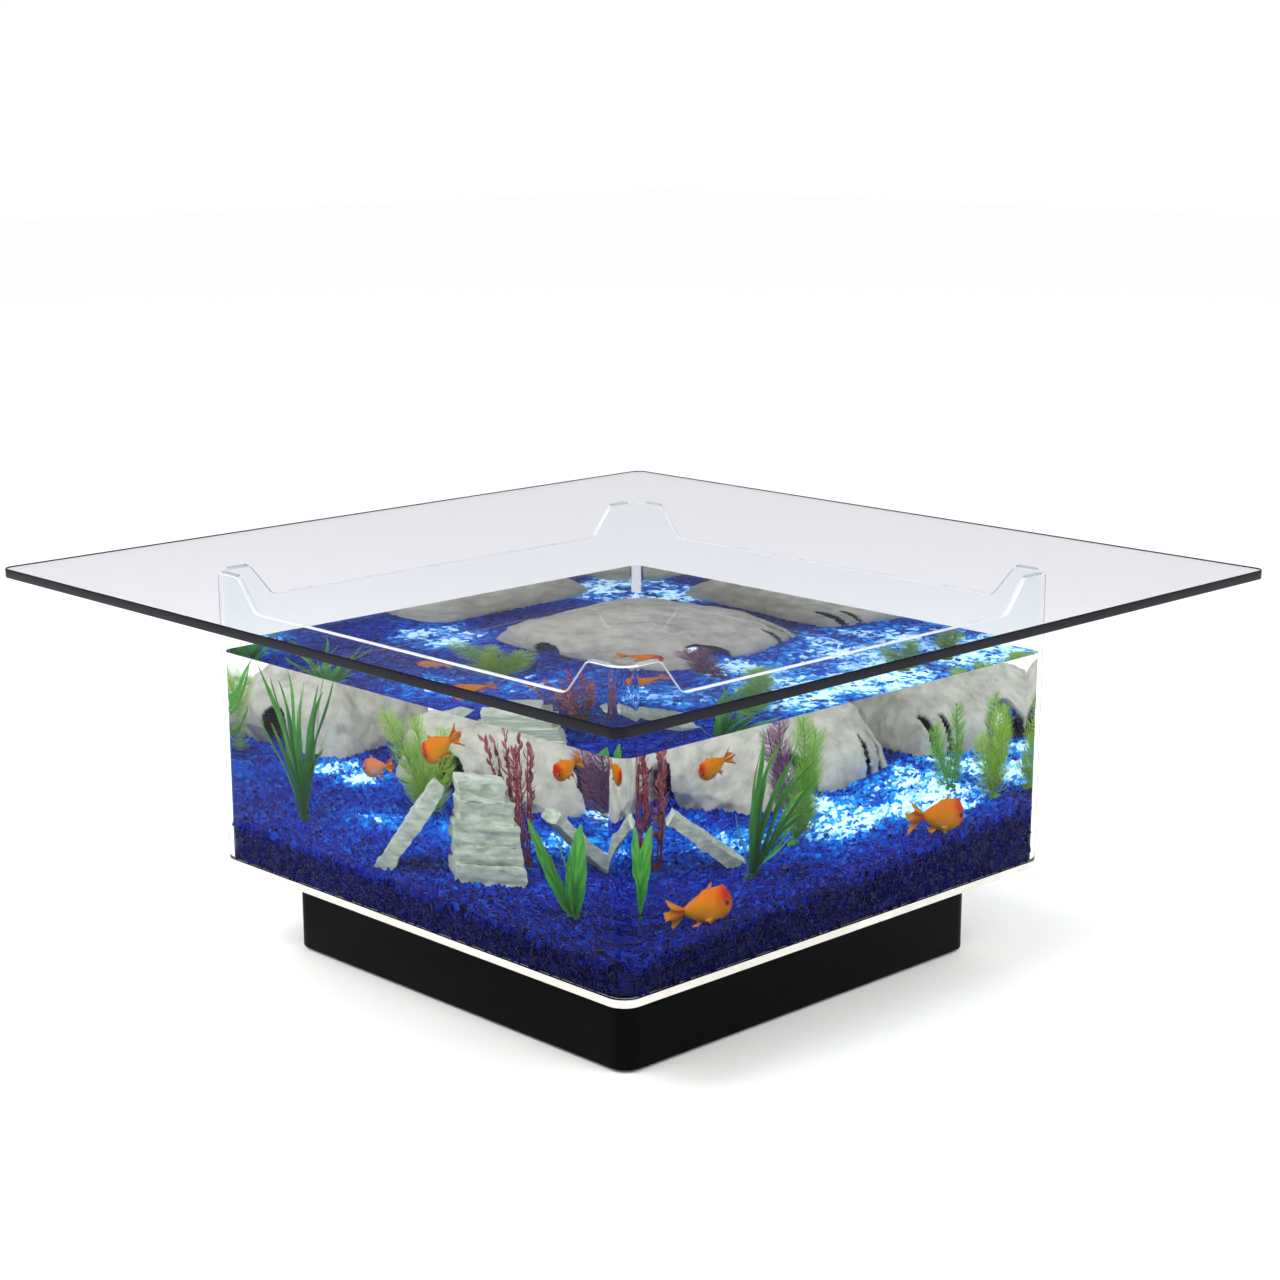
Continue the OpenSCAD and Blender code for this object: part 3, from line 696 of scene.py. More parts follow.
# Cast rock, weathered: chalky beige-grey with a coarse mottle.
ROCK = Finish("cast_rock_weathered", (
    (0.25, "#a79f8e"), (0.42, "#cdc6b4"), (0.6, "#e3dcca"), (0.8, "#f3eee0")), 0.85,
    grain_mm=26, grain_detail=8, relief_mm=2.4, relief=0.7, bend=WET)
# Pale slate, split in layers: green-grey bands that follow the bedding.
RUIN = Finish("slate_layered_pale", (
    (0.25, "#a5a892"), (0.45, "#c9ceb8"), (0.6, "#dee2cf"), (0.8, "#f0f3e4")), 0.75, 0.1,
    grain_mm=16, grain_detail=7, relief_mm=2.0, relief=0.5, stretch=(1.0, 1.0, 4.0), bend=WET)

# What soft plastic leaves and wet scales share: colour by tone, and a mirror that water quiets.
LEAF = {"reads": Reads.TONE, "bend": WET}
# Extruded ribbon leaf: deep green at the foot, fresh green at the tip.
LEAF_DARK = Finish("soft_plastic_leaf_deep_green", (
    (0.0, "#1f4f26"), (0.35, "#2d7636"), (0.75, "#4e9f42"), (1.0, "#8cc850")), 0.4,
    grain_mm=9, relief_mm=0.9, relief=0.08, tone_noise=0.12, under_skin=0.15, **LEAF)
# Pressed broad leaf: pale midrib and side veins on mid green.
LEAF_BROAD = Finish("soft_plastic_leaf_broad", (
    (0.0, "#265f28"), (0.5, "#378c34"), (1.0, "#74bc50")), 0.35,
    grain_mm=7, relief_mm=1.2, relief=0.12, tone_noise=0.1, under_skin=0.15, **LEAF)
# Moulded fronds: fine needles whose thin tips let the light through.
FROND = Finish("soft_plastic_frond_yellow_green", (
    (0.0, "#68a230"), (0.5, "#9ad040"), (1.0, "#d0f068")), 0.45,
    grain_mm=8, tone_noise=0.15, under_skin=0.2, relief=0.02, **LEAF)
FROND_MOSS = Finish("soft_plastic_frond_mid_green", (
    (0.0, "#4c8c30"), (0.5, "#74ba40"), (1.0, "#ace45c")), 0.45,
    grain_mm=8, tone_noise=0.15, under_skin=0.2, relief=0.02, **LEAF)
FROND_WINE = Finish("soft_plastic_frond_wine", (
    (0.0, "#502c44"), (0.5, "#8c5c82"), (1.0, "#bc8aa6")), 0.5,
    grain_mm=7, tone_noise=0.15, under_skin=0.15, relief=0.02, **LEAF)
# Moulded twigs: brick red stems with dusty pink leaves.
TWIG = Finish("soft_plastic_twig_brick", (
    (0.0, "#6c3a32"), (0.5, "#b0525e"), (1.0, "#e49498")), 0.5,
    grain_mm=6, tone_noise=0.15, under_skin=0.1, relief=0.02, **LEAF)
# Wet scales: golden belly, orange flank and red crown.
GOLDFISH = Finish("goldfish_scales_wet", (
    (0.0, "#f0b040"), (0.3, "#ee9210"), (0.6, "#e87606"), (0.82, "#e04c0a"), (1.0, "#d8280a")), 0.28,
    grain_mm=5, relief_mm=1.6, relief=0.15, tone_noise=0.16, **LEAF)
# Wet scales of the paler fish: cream belly, coral back.
FISH_CORAL = Finish("goldfish_scales_coral", (
    (0.0, "#f4cdb4"), (0.4, "#e58a5c"), (0.8, "#d9623c"), (1.0, "#c8432a")), 0.3,
    grain_mm=5, relief_mm=1.6, relief=0.15, tone_noise=0.1, coat=0.4, under_skin=0.2, **LEAF)
# Fin membrane: thin and rayed, so that light comes through it.
FISH_FIN = Finish("goldfish_fin_membrane", (
    (0.0, "#f4a848"), (0.5, "#ec8414"), (1.0, "#e26208")), 0.35, 0.05,
    grain_mm=4, tone_noise=0.15, see_through=0.25, under_skin=0.3, relief=0.03, **LEAF)
# Eye: a wet dark pupil in a gold ring.
FISH_EYE = Finish("goldfish_eye", (
    (0.0, "#06070a"), (0.5, "#0b0c10"), (0.55, "#e8c778"), (1.0, "#caa14a")), 0.08, 0.02,
    grain_mm=5, reads=Reads.TONE, relief=0.0, coat=1.0)


def dress_all(finishes: tuple[tuple[Finish, tuple[str, ...]], ...]) -> None:
    """Dresses construction nodes, with one material for each finish.

    Args:
        finishes: each finish with the nodes that it covers.
    """
    for finish, nodes in finishes:
        material = finish.made()
        for node in nodes:
            dress(node, material)


# ---------------------------------------------------------------- tank and glass


@dataclass
class RoundSquare:
    """The outline of a square with rounded corners, walked once anticlockwise.

    Each side is straight from -(half - radius) to half - radius. Each corner is a quarter
    circle. extra holds further places along a side, with their heights for a cut rim.
    """

    half: float
    radius: float
    corner_steps: int = 10
    extra: tuple[tuple[float, float], ...] = ()
    corner_value: float = 0.0

    def ring(self, inset: float = 0.0) -> np.ndarray:
        """Walks the outline.

        Args:
            inset: how far the outline is moved inwards.

        Returns:
            The points, at z = 0.
        """
        edge = self.half - self.radius
        along = np.array([-edge] + [x for x, _ in self.extra] + [edge])
        side = np.stack([along, np.full(len(along), inset - self.half), np.zeros(len(along))], axis=1)
        angle = np.linspace(-90, 0, self.corner_steps + 1)[1:-1] * math.pi / 180
        reach = self.radius - inset
        corner = np.stack([edge + reach * np.cos(angle), -edge + reach * np.sin(angle), 0 * angle], axis=1)
        quarter = np.concatenate([side, corner])
        return np.concatenate([quarter @ turn_z(90 * k).T for k in range(4)])

    def values(self) -> np.ndarray:
        """Returns the height stored with each point of the outline."""
        quarter = [self.corner_value] + [v for _, v in self.extra] + [self.corner_value] * self.corner_steps
        return np.array(quarter * 4)


def slab(outline: RoundSquare, low: float, high: float, arris: float, edge_rows: int = 3) -> Surface:
    """A closed slab with a rounded arris along its upper and lower edges.

    Row k of the edge stands at inset arris(1 - cos a) and height arris(1 - sin a) from the
    corner, for a from 0 to 90 degrees.

    Args:
        outline: the slab's outline.
        low: its under side.
        high: its upper side.
        arris: radius of the edges.
        edge_rows: rows of points on each arris.

    Returns:
        The surface, with finish 0 on the two flat faces and finish 1 on the edge.
    """
    angle = np.linspace(0, math.pi / 2, edge_rows)
    inset = arris * (1 - np.cos(angle))
    rise = arris * (1 - np.sin(angle))
    rows = [outline.ring(i) + [0, 0, low + z] for i, z in zip(inset[::-1], rise[::-1])]
    rows += [outline.ring(i) + [0, 0, high - z] for i, z in zip(inset, rise)]
    count = len(rows[0])
    points = np.concatenate(rows)
    sides = grid_faces(len(rows), count, wrap_cols=True)
    ring = np.arange(count)
    bottom, top = ring[::-1][None], (ring + (len(rows) - 1) * count)[None]
    return Surface(points, [bottom, top, sides], None, [0, 0, 1])


@dataclass
class Tank:
    """Acrylic tank, its water and the glass top."""

    bend: float = 20 * MM
    wall: float = 6.35 * MM
    rim_drop: float = 33.5 * MM
    post_foot: float = 74.5 * MM
    post_top: float = 47 * MM
    rim_bend: float = 12 * MM
    water_z: float = 323 * MM
    wave_height: float = 0.12 * MM
    wave_width: float = 45 * MM
    air: float = 0.3 * MM
    arris: float = 0.8 * MM
    glass_corner: float = 12.7 * MM
    glass_arris: float = 1.0 * MM
    hair: float = 0.02 * MM

    def rim(self, half: float) -> tuple[tuple[float, float], ...]:
        """Works out the cut rim of one side.

        From the middle outwards: the level rim, an arc of radius rim_bend up to the slope, the
        slope, and an arc of the same radius over to the top of the post.

        Args:
            half: half the tank's width.

        Returns:
            Places along the side, each with the rim's drop there.
        """
        foot, head = half - self.post_foot, half - self.post_top
        lean = math.atan2(self.rim_drop, head - foot)
        t = self.rim_bend * math.tan(lean / 2)
        arc = [(self.rim_bend * math.sin(a), self.rim_bend * (1 - math.cos(a)))
               for a in np.linspace(0, lean, 7)]
        low = [(foot - t + x, -self.rim_drop + z) for x, z in arc]
        high = [(head + t - x, -z) for x, z in arc[::-1]]
        right = low + high
        left = [(-x, z) for x, z in right[::-1]]
        return tuple(left + right)

    def walls(self) -> None:
        """The bent wall sheet with its four cut-out rims.

        Rows run round the sheet's section: outer face up, arris, top edge, arris, inner face down.
        """
        low, high = box_of("tank_walls")
        half = high[0]
        outline = RoundSquare(half, self.bend, 12, self.rim(half))
        top = high[2] + outline.values()
        rows = []
        for inset, drop in ((0, None), (0, self.arris), (self.arris, 0), (self.wall - self.arris, 0),
                            (self.wall, self.arris), (self.wall, None)):
            ring = outline.ring(inset)
            ring[:, 2] = low[2] if drop is None else top - drop
            rows.append(ring)
        faces = grid_faces(len(rows), len(rows[0]), wrap_rows=True, wrap_cols=True)
        faces = faces.reshape(len(rows), -1, 4)
        groups = [faces[[0, 4, 5]].reshape(-1, 4), faces[1:4].reshape(-1, 4)]
        put("tank_wall_sheet", Surface(np.concatenate(rows), groups, None, [0, 1]),
            [CAST_ACRYLIC.made(), ACRYLIC_EDGE.made()], "tank", ("tank_walls",))

    def floor(self) -> None:
        """The opal floor panel, a hair thinner than the gap that it fills."""
        low, high = box_of("tank_floor")
        panel = slab(RoundSquare(high[0], self.bend), low[2], high[2] - self.hair, self.arris)
        panel.slots = [0, 0, 0]
        put("tank_floor_panel", panel, [OPAL_ACRYLIC.made()], "tank", ("tank_floor",),
            flat=(0, 1))

    def water(self) -> None:
        """The water: a block just clear of the acrylic, with a slightly uneven top.

        The top is rings of the outline scaled towards the middle, raised by a soft noise that
        fades at the walls.
        """
        half = box_of("tank_walls")[1][0] - self.wall - self.air
        bottom = box_of("tank_floor")[1][2] + self.air
        side = tuple((x, 0.0) for x in np.linspace(-0.26, 0.26, 27))
        ring = RoundSquare(half, self.bend - self.wall, 8, side).ring()
        rows = [ring + [0, 0, bottom], ring + [0, 0, self.water_z]]
        for share in np.linspace(0.985, 0.02, 34):
            row = ring * share + [0, 0, self.water_z]
            swell = lattice_noise(row * [1, 1, 0], self.wave_width, SEED)
            row[:, 2] += self.wave_height * swell * (1 - share**12)
            rows.append(row)
        count = len(ring)
        lid = (np.arange(count) + (len(rows) - 1) * count)[None]
        base = np.arange(count)[::-1][None]
        faces = [grid_faces(len(rows), count, wrap_cols=True), lid, base]
        put("tank_water", Surface(np.concatenate(rows), faces), [WATER.made()], "tank",
            sharp=40, flat=(1, 2))

    def glass_top(self) -> None:
        """The loose glass top, with its edge painted dark as shade."""
        low, high = box_of("glass_top")
        outline = RoundSquare(high[0], self.glass_corner, 12)
        plate = slab(outline, low[2], high[2], self.glass_arris, 4)
        put("glass_plate", plate, [FLOAT_GLASS.made(), GLASS_EDGE.made()], "glass",
            ("glass_top",), flat=(0, 1))

    def build(self) -> None:
        """Builds and dresses the tank."""
        self.walls()
        self.floor()
        self.water()
        self.glass_top()
        dress("top_bumpers", VINYL.made())


@dataclass
class Plinth:
    """The black plinth and what it holds."""

    radius: float = 20 * MM
    board: float = 15 * MM
    arris: float = 1.2 * MM

    def build(self) -> None:
        """Makes the shell with softened arrises and dresses the carcass."""
        low, high = box_of("plinth_shell")
        outline = RoundSquare(high[0], self.radius, 12)
        a, mid = self.arris, 0.3 * self.arris
        section = [(0, low[2] + a), (0, high[2] - a), (mid, high[2] - mid), (a, high[2]),
                   (self.board, high[2]), (self.board, low[2]), (a, low[2]), (mid, low[2] + mid)]
        rows = [outline.ring(inset) + [0, 0, z] for inset, z in section]
        faces = grid_faces(len(rows), len(rows[0]), wrap_rows=True, wrap_cols=True)
        put("plinth_case", Surface(np.concatenate(rows), [faces]), [LACQUER.made()], "tank",
            ("plinth_shell",))
        dress_all(((PINE, ("corner_blocks", "rib_long", "rib_cross")), (BOARD, ("plinth_deck",)),
                   (ZINC, ("deck_screws",)), (NYLON, ("glide_feet",)), (FOAM, ("foam_mat",))))


# ---------------------------------------------------------------- gravel


@dataclass
class Bed:
    """The gravel's plane, which everything in the tank stands on."""

    bottom: float = 101 * MM
    middle: float = 51 * MM
    slope_x: float = -0.022
    slope_y: float = 0.057

    def height(self, x: np.ndarray | float, y: np.ndarray | float) -> np.ndarray | float:
        """Returns the plane's height, which falls along X and rises along Y."""
        return self.bottom + self.middle + self.slope_x * x + self.slope_y * y

    def frame(self, x: float, y: float) -> tuple[np.ndarray, np.ndarray]:
        """Stands a thing square to the plane.

        Args:
            x: its place along X.
            y: its place along Y.

        Returns:
            The matrix that tilts it, and its place on the plane.
        """
        up = unit(np.array([-self.slope_x, -self.slope_y, 1.0]))
        axis = unit(np.cross([0, 0, 1.0], up))
        angle = math.acos(up[2])
        cross = np.array([[0, -axis[2], axis[1]], [axis[2], 0, -axis[0]], [-axis[1], axis[0], 0]])
        tilt = np.eye(3) + math.sin(angle) * cross + (1 - math.cos(angle)) * cross @ cross
        return tilt, np.array([x, y, self.height(x, y)])


@dataclass
class Gravel:
    """The sloping bed: loose chips over a plain core."""

    bed: Bed
    chip: float = 6.2 * MM
    pitch: float = 4.7 * MM
    corner: float = 13.65 * MM
    # Painted lamplight on the bed: x, y and reach in metres, and how much it adds to the tone.
    lit: tuple[tuple[float, float, float, float], ...] = (
        (0.130, 0.110, 0.058, 1.1), (0.175, 0.225, 0.060, 1.2), (0.060, 0.250, 0.065, 1.2),
        (-0.262, 0.270, 0.06, 1.1), (0.050, -0.010, 0.055, 0.7), (0.030, 0.120, 0.045, 0.9),
        (-0.275, -0.010, 0.045, 0.9), (-0.060, -0.060, 0.05, 0.35), (-0.170, -0.120, 0.045, 0.3),
        (0.200, 0.060, 0.045, 0.25), (-0.272, 0.02, 0.04, 0.3), (0.120, -0.250, 0.03, 0.15),
        (-0.100, -0.100, 0.17, 0.16))

    def chip_shape(self, rng: np.random.Generator) -> Surface:
        """Makes an angular chip: a cube whose eight corners are pulled in and out at random.

        Args:
            rng: source of the random draws.

        Returns:
            A closed surface of twelve triangles, about two units across.
        """
        corners = np.array(list(itertools.product((-1, 1), repeat=3)), float)
        corners = corners * rng.uniform(0.35, 0.75, (8, 3)) * rng.uniform(0.55, 1.0, 3)
        quads = np.array([[0, 1, 3, 2], [4, 6, 7, 5], [0, 4, 5, 1], [2, 3, 7, 6], [0, 2, 6, 4], [1, 5, 7, 3]])
        tris = np.concatenate([quads[:, [0, 1, 2]], quads[:, [0, 2, 3]]])
        return Surface(corners, [tris], np.zeros(8), [0])

    def random_turns(self, rng: np.random.Generator, count: int) -> np.ndarray:
        """Makes random rotation matrices, each from a random unit quaternion.

        Args:
            rng: source of the random draws.
            count: how many.

        Returns:
            The matrices.
        """
        q = unit(rng.normal(size=(count, 4)))
        w, x, y, z = q.T
        return np.stack([1 - 2 * (y * y + z * z), 2 * (x * y - z * w), 2 * (x * z + y * w),
                         2 * (x * y + z * w), 1 - 2 * (x * x + z * z), 2 * (y * z - x * w),
                         2 * (x * z - y * w), 2 * (y * z + x * w), 1 - 2 * (x * x + y * y)],
                        axis=-1).reshape(-1, 3, 3)

    def tones(self, places: np.ndarray, rng: np.random.Generator) -> np.ndarray:
        """Works out each chip's tone: mostly cobalt, with painted lamplight that makes it paler where the
        lamps rake the bed.

        Args:
            places: middle of each chip.
            rng: source of the random draws.

        Returns:
            The tones, with painted shade: darker below the bed's surface, along the walls and towards its
                lowest corner.
        """
        tone = rng.normal(0.31, 0.1, len(places))
        patch = 0.5 + 0.5 * fractal(places, 0.035, 3, SEED + 5)
        # Painted lamplight: chips near each listed spot get a paler tone.
        for x, y, reach, gain in self.lit:
            far = np.hypot(places[:, 0] - x, places[:, 1] - y) / reach
            tone += gain * np.exp(-far * far) * (0.35 + patch) * rng.uniform(0.3, 1.2, len(places))
        side = np.maximum(np.abs(places[:, 0]), np.abs(places[:, 1]))
        depth = self.bed.height(places[:, 0], places[:, 1]) - places[:, 2]
        sunk = np.clip(depth / (12 * MM), 0, 1)
        # Painted shade: darker towards the lowest, front corner, away from the lamps.
        tone -= 0.10 * np.clip((places[:, 0] - places[:, 1] - 0.16) / 0.3, 0, 1)
        # Painted shade: chips sunk below the bed's surface and chips against the walls are darker.
        tone = tone * (1 - 0.55 * sunk) + 0.02 - 0.04 * (side > 0.285)
        return np.clip(tone, 0.02, 1)

    def places(self, rng: np.random.Generator) -> np.ndarray:
        """Places the chips: a jittered square grid over the bed and down its four sides.

        Args:
            rng: source of the random draws.

        Returns:
            Middle of each chip, inside the tank's rounded corners.
        """
        half = box_of("gravel_bed")[1][0] - 0.45 * self.chip
        line = np.arange(-half, half, self.pitch)
        x, y = np.meshgrid(line, line)
        top = np.stack([x.ravel(), y.ravel()], 1) + rng.uniform(-0.4, 0.4, (x.size, 2)) * self.pitch
        top = np.clip(top, -half, half)
        z = self.bed.height(top[:, 0], top[:, 1]) + rng.uniform(-0.28, 0.16, len(top)) * self.chip
        z += 1.2 * MM * fractal(np.c_[top, np.zeros(len(top))], 0.05, 2, SEED + 9)
        spots = [np.c_[top, z]]
        floor = box_of("gravel_bed")[0][2]
        for k in range(4):
            u, v = np.meshgrid(line, np.arange(0.4 * self.chip, 0.085, self.pitch * 0.92))
            wall = np.stack([u.ravel(), np.full(u.size, -half), floor + v.ravel()], 1)
            wall[:, [0, 2]] += rng.uniform(-0.4, 0.4, (len(wall), 2)) * self.pitch
            wall[:, 2] = np.maximum(wall[:, 2], floor + 0.36 * self.chip)
            wall = wall @ turn_z(90 * k).T
            spots.append(wall[wall[:, 2] < self.bed.height(wall[:, 0], wall[:, 1]) - 0.1 * self.chip])
        spots = np.concatenate(spots)
        beyond = np.maximum(np.abs(spots[:, :2]) - (half + 0.45 * self.chip - self.corner), 0)
        return spots[np.hypot(beyond[:, 0], beyond[:, 1]) < self.corner - 0.45 * self.chip]

    def core(self, finish: bpy.types.Material) -> None:
        """Builds the plain core that fills the bed just under its chips.

        Args:
            finish: the gravel's material.
        """
        low, high = box_of("gravel_bed")
        ring = RoundSquare(high[0] - 5 * MM, 9 * MM, 6).ring()
        sunk = self.bed.height(ring[:, 0], ring[:, 1]) - 4.5 * MM
        rows = [ring + [0, 0, low[2] + 1.5 * MM], np.c_[ring[:, :2], sunk]]
        count = len(ring)
        faces = [grid_faces(2, count, wrap_cols=True), np.arange(count)[::-1][None],
                 (np.arange(count) + count)[None]]
        # Painted shade: the core takes a dark tone, for the shaded gaps between the chips.
        core = Surface(np.concatenate(rows), faces, np.full(2 * count, 0.12))
        put("gravel_core", core, [finish], "tank", ("gravel_bed",))

    def build(self) -> None:
        """Builds the core and the chips, which keep clear of the equipment tray."""
        rng = np.random.default_rng(SEED)
        finish = GRAVEL.made()
        self.core(finish)
        places = self.places(rng)
        tray_low, tray_high = box_of("equipment_tray")
        flat, clear = places[:, :2], 2 * MM
        inside = ((flat > tray_low[:2] - clear) & (flat < tray_high[:2] + clear)).all(1)
        places = places[~inside]
        shapes = [self.chip_shape(rng) for _ in range(12)]
        groups = np.array_split(rng.permutation(len(places)), len(shapes))
        parts = []
        for shape, group in zip(shapes, groups):
            size = self.chip * rng.uniform(0.72, 1.3, len(group))
            turns = self.random_turns(rng, len(group)) * size[:, None, None]
            parts.append(copies(shape, turns, places[group], self.tones(places[group], rng)))
        for n in range(2):
            put(f"gravel_chips_{n + 1}", joined(parts[n::2]), [finish], "tank", ("gravel_bed",),
                sharp=10)


# ---------------------------------------------------------------- rocks


@dataclass
class Rock:
    """The hollow rock over the filter and the lamps.

    lumps are balls that the skin is stretched over: x, y, height above the tank's floor and
    radius, in millimetres. lamps are the mouths: x, y, facing and half-width. clefts are the
    places along Y of two narrow slots.
    """

    bed: Bed
    lumps: tuple[tuple[float, float, float, float], ...] = (
        (-205, 70, 88, 50), (-214, 222, 84, 52), (-165, 180, 112, 52), (-105, 232, 98, 50),
        (-44, 236, 70, 44), (-40, 130, 68, 44), (-120, 60, 88, 46), (-115, 135, 114, 44),
        (-226, 58, 46, 36), (-228, 236, 46, 42), (-34, 246, 46, 38), (-34, 92, 46, 38))
    lamps: tuple[tuple[float, float, float, float], ...] = ((-54, 128, 0, 26), (-150, 104, -90, 22))
    clefts: tuple[float, float] = (232, 254)
    cleft_half: float = 4.5 * MM
    mouth_ahead: float = 18 * MM
    deck: float = 160 * MM
    middle: tuple[float, float, float] = (-120 * MM, 150 * MM, 175 * MM)
    wall: float = 4.5 * MM
    rows: int = 120
    cols: int = 300

    def reach(self, directions: np.ndarray, middle: np.ndarray) -> np.ndarray:
        """Distance from the middle to the skin stretched over the lumps, along each direction.

        For a convex skin this is the least of h(n) / (n . d) over all outward n, where h(n) is
        the farthest that any lump reaches along n. The directions n lie on a golden spiral.

        Args:
            directions: unit directions from the middle.
            middle: a point inside the skin.

        Returns:
            A distance for each direction.
        """
        samples, chunk, grazing = 6000, 4000, 0.05
        k = np.arange(samples) + 0.5
        height, turn = 1 - 2 * k / samples, math.pi * (1 + 5**0.5) * k
        flat = np.sqrt(1 - height**2)
        normals = np.stack([flat * np.cos(turn), flat * np.sin(turn), height], axis=1)
        lumps = np.array(self.lumps) * MM
        lumps[:, 2] += self.bed.bottom
        support = (normals @ (lumps[:, :3] - middle).T + lumps[:, 3]).max(1)
        result = np.empty(len(directions))
        for start in range(0, len(directions), chunk):
            facing = directions[start : start + chunk] @ normals.T
            reach = np.where(facing > grazing, support / np.maximum(facing, grazing), math.inf)
            result[start : start + chunk] = reach.min(1)
        return result

    def opened(self, points: np.ndarray) -> np.ndarray:
        """Finds the points inside a lamp's mouth or a cleft: arches with a slightly wandering edge.

        Args:
            points: places on the skin.

        Returns:
            True for each point that is cut away.
        """
        hit = np.zeros(len(points), bool)
        wobble = 2.2 * MM * lattice_noise(points, 11 * MM, SEED + 3)
        places = [(x * MM, y * MM, a, self.mouth_ahead, w * MM, (52 if a == 0 else 46) * MM)
                  for x, y, a, w in self.lamps]
        places += [(-60 * MM, y * MM, 0, 0, self.cleft_half, 52 * MM) for y in self.clefts]
        for x, y, turn, ahead, half, high in places:
            own = (points - [x, y, self.deck]) @ turn_z(-turn).T
            above = np.maximum(own[:, 2] - (high - half), 0)
            arch = np.hypot(own[:, 1], above) < half + wobble * (half > 0.01)
            hit |= (own[:, 0] > ahead) & arch
        return hit

    def build(self) -> None:
        """Builds a roughened dome of rays from the middle, with mouths cut and a wall added inwards.

        Rows go from the foot to the crown. A point is middle + distance times direction, less a
        fractal noise that pits the skin. The foot row drops to just under the gravel.
        """
        middle = np.array(self.middle)
        rise = np.linspace(-0.5, 1.555, self.rows)[:, None]
        turn = (np.arange(self.cols) * 2 * math.pi / self.cols)[None]
        level = np.cos(rise)
        d = np.stack([level * np.cos(turn), level * np.sin(turn), np.sin(rise) + 0 * turn], -1).reshape(-1, 3)
        skin = middle + d * self.reach(d, middle)[:, None]
        pits = 0.5 + 0.5 * fractal(skin, 0.075, 4, SEED + 1)
        ridge = np.abs(fractal(skin * [1, 1, 1.6], 0.05, 3, SEED + 2))
        fine = fractal(skin, 0.012, 3, SEED + 4)
        inward = 7.5 * MM * pits + 4.5 * MM * ridge + 1.3 * MM * fine - 2 * MM
        skin -= d * inward[:, None]
        foot = self.bed.height(skin[:, 0], skin[:, 1]) - 3 * MM
        skin[:, 2] = np.maximum(skin[:, 2], foot)
        faces = grid_faces(self.rows, self.cols, wrap_cols=True)
        centre = skin[faces].mean(1)
        low = (skin[faces][:, :, 2] <= foot[faces] + 1e-6).all(1)
        diagonals = skin[faces[:, 2]] - skin[faces[:, 0]], skin[faces[:, 3]] - skin[faces[:, 1]]
        area = np.linalg.norm(np.cross(*diagonals), axis=1)
        faces = faces[~(self.opened(centre) | low | (area < 1e-9))]
        crown = (np.arange(self.cols) + (self.rows - 1) * self.cols)[None]
        used, back = np.unique(np.concatenate([faces.reshape(-1), crown.reshape(-1)]), return_inverse=True)
        groups = [back[: faces.size].reshape(-1, 4), back[faces.size :][None]]
        rock = put("cave_rock", Surface(skin[used], groups, None, [0, 0]), [ROCK.made()], "rock",
                   ("rock_formation",), sharp=70)
        wall = rock.modifiers.new("wall", "SOLIDIFY")
        wall.thickness = self.wall
        wall.offset = -1


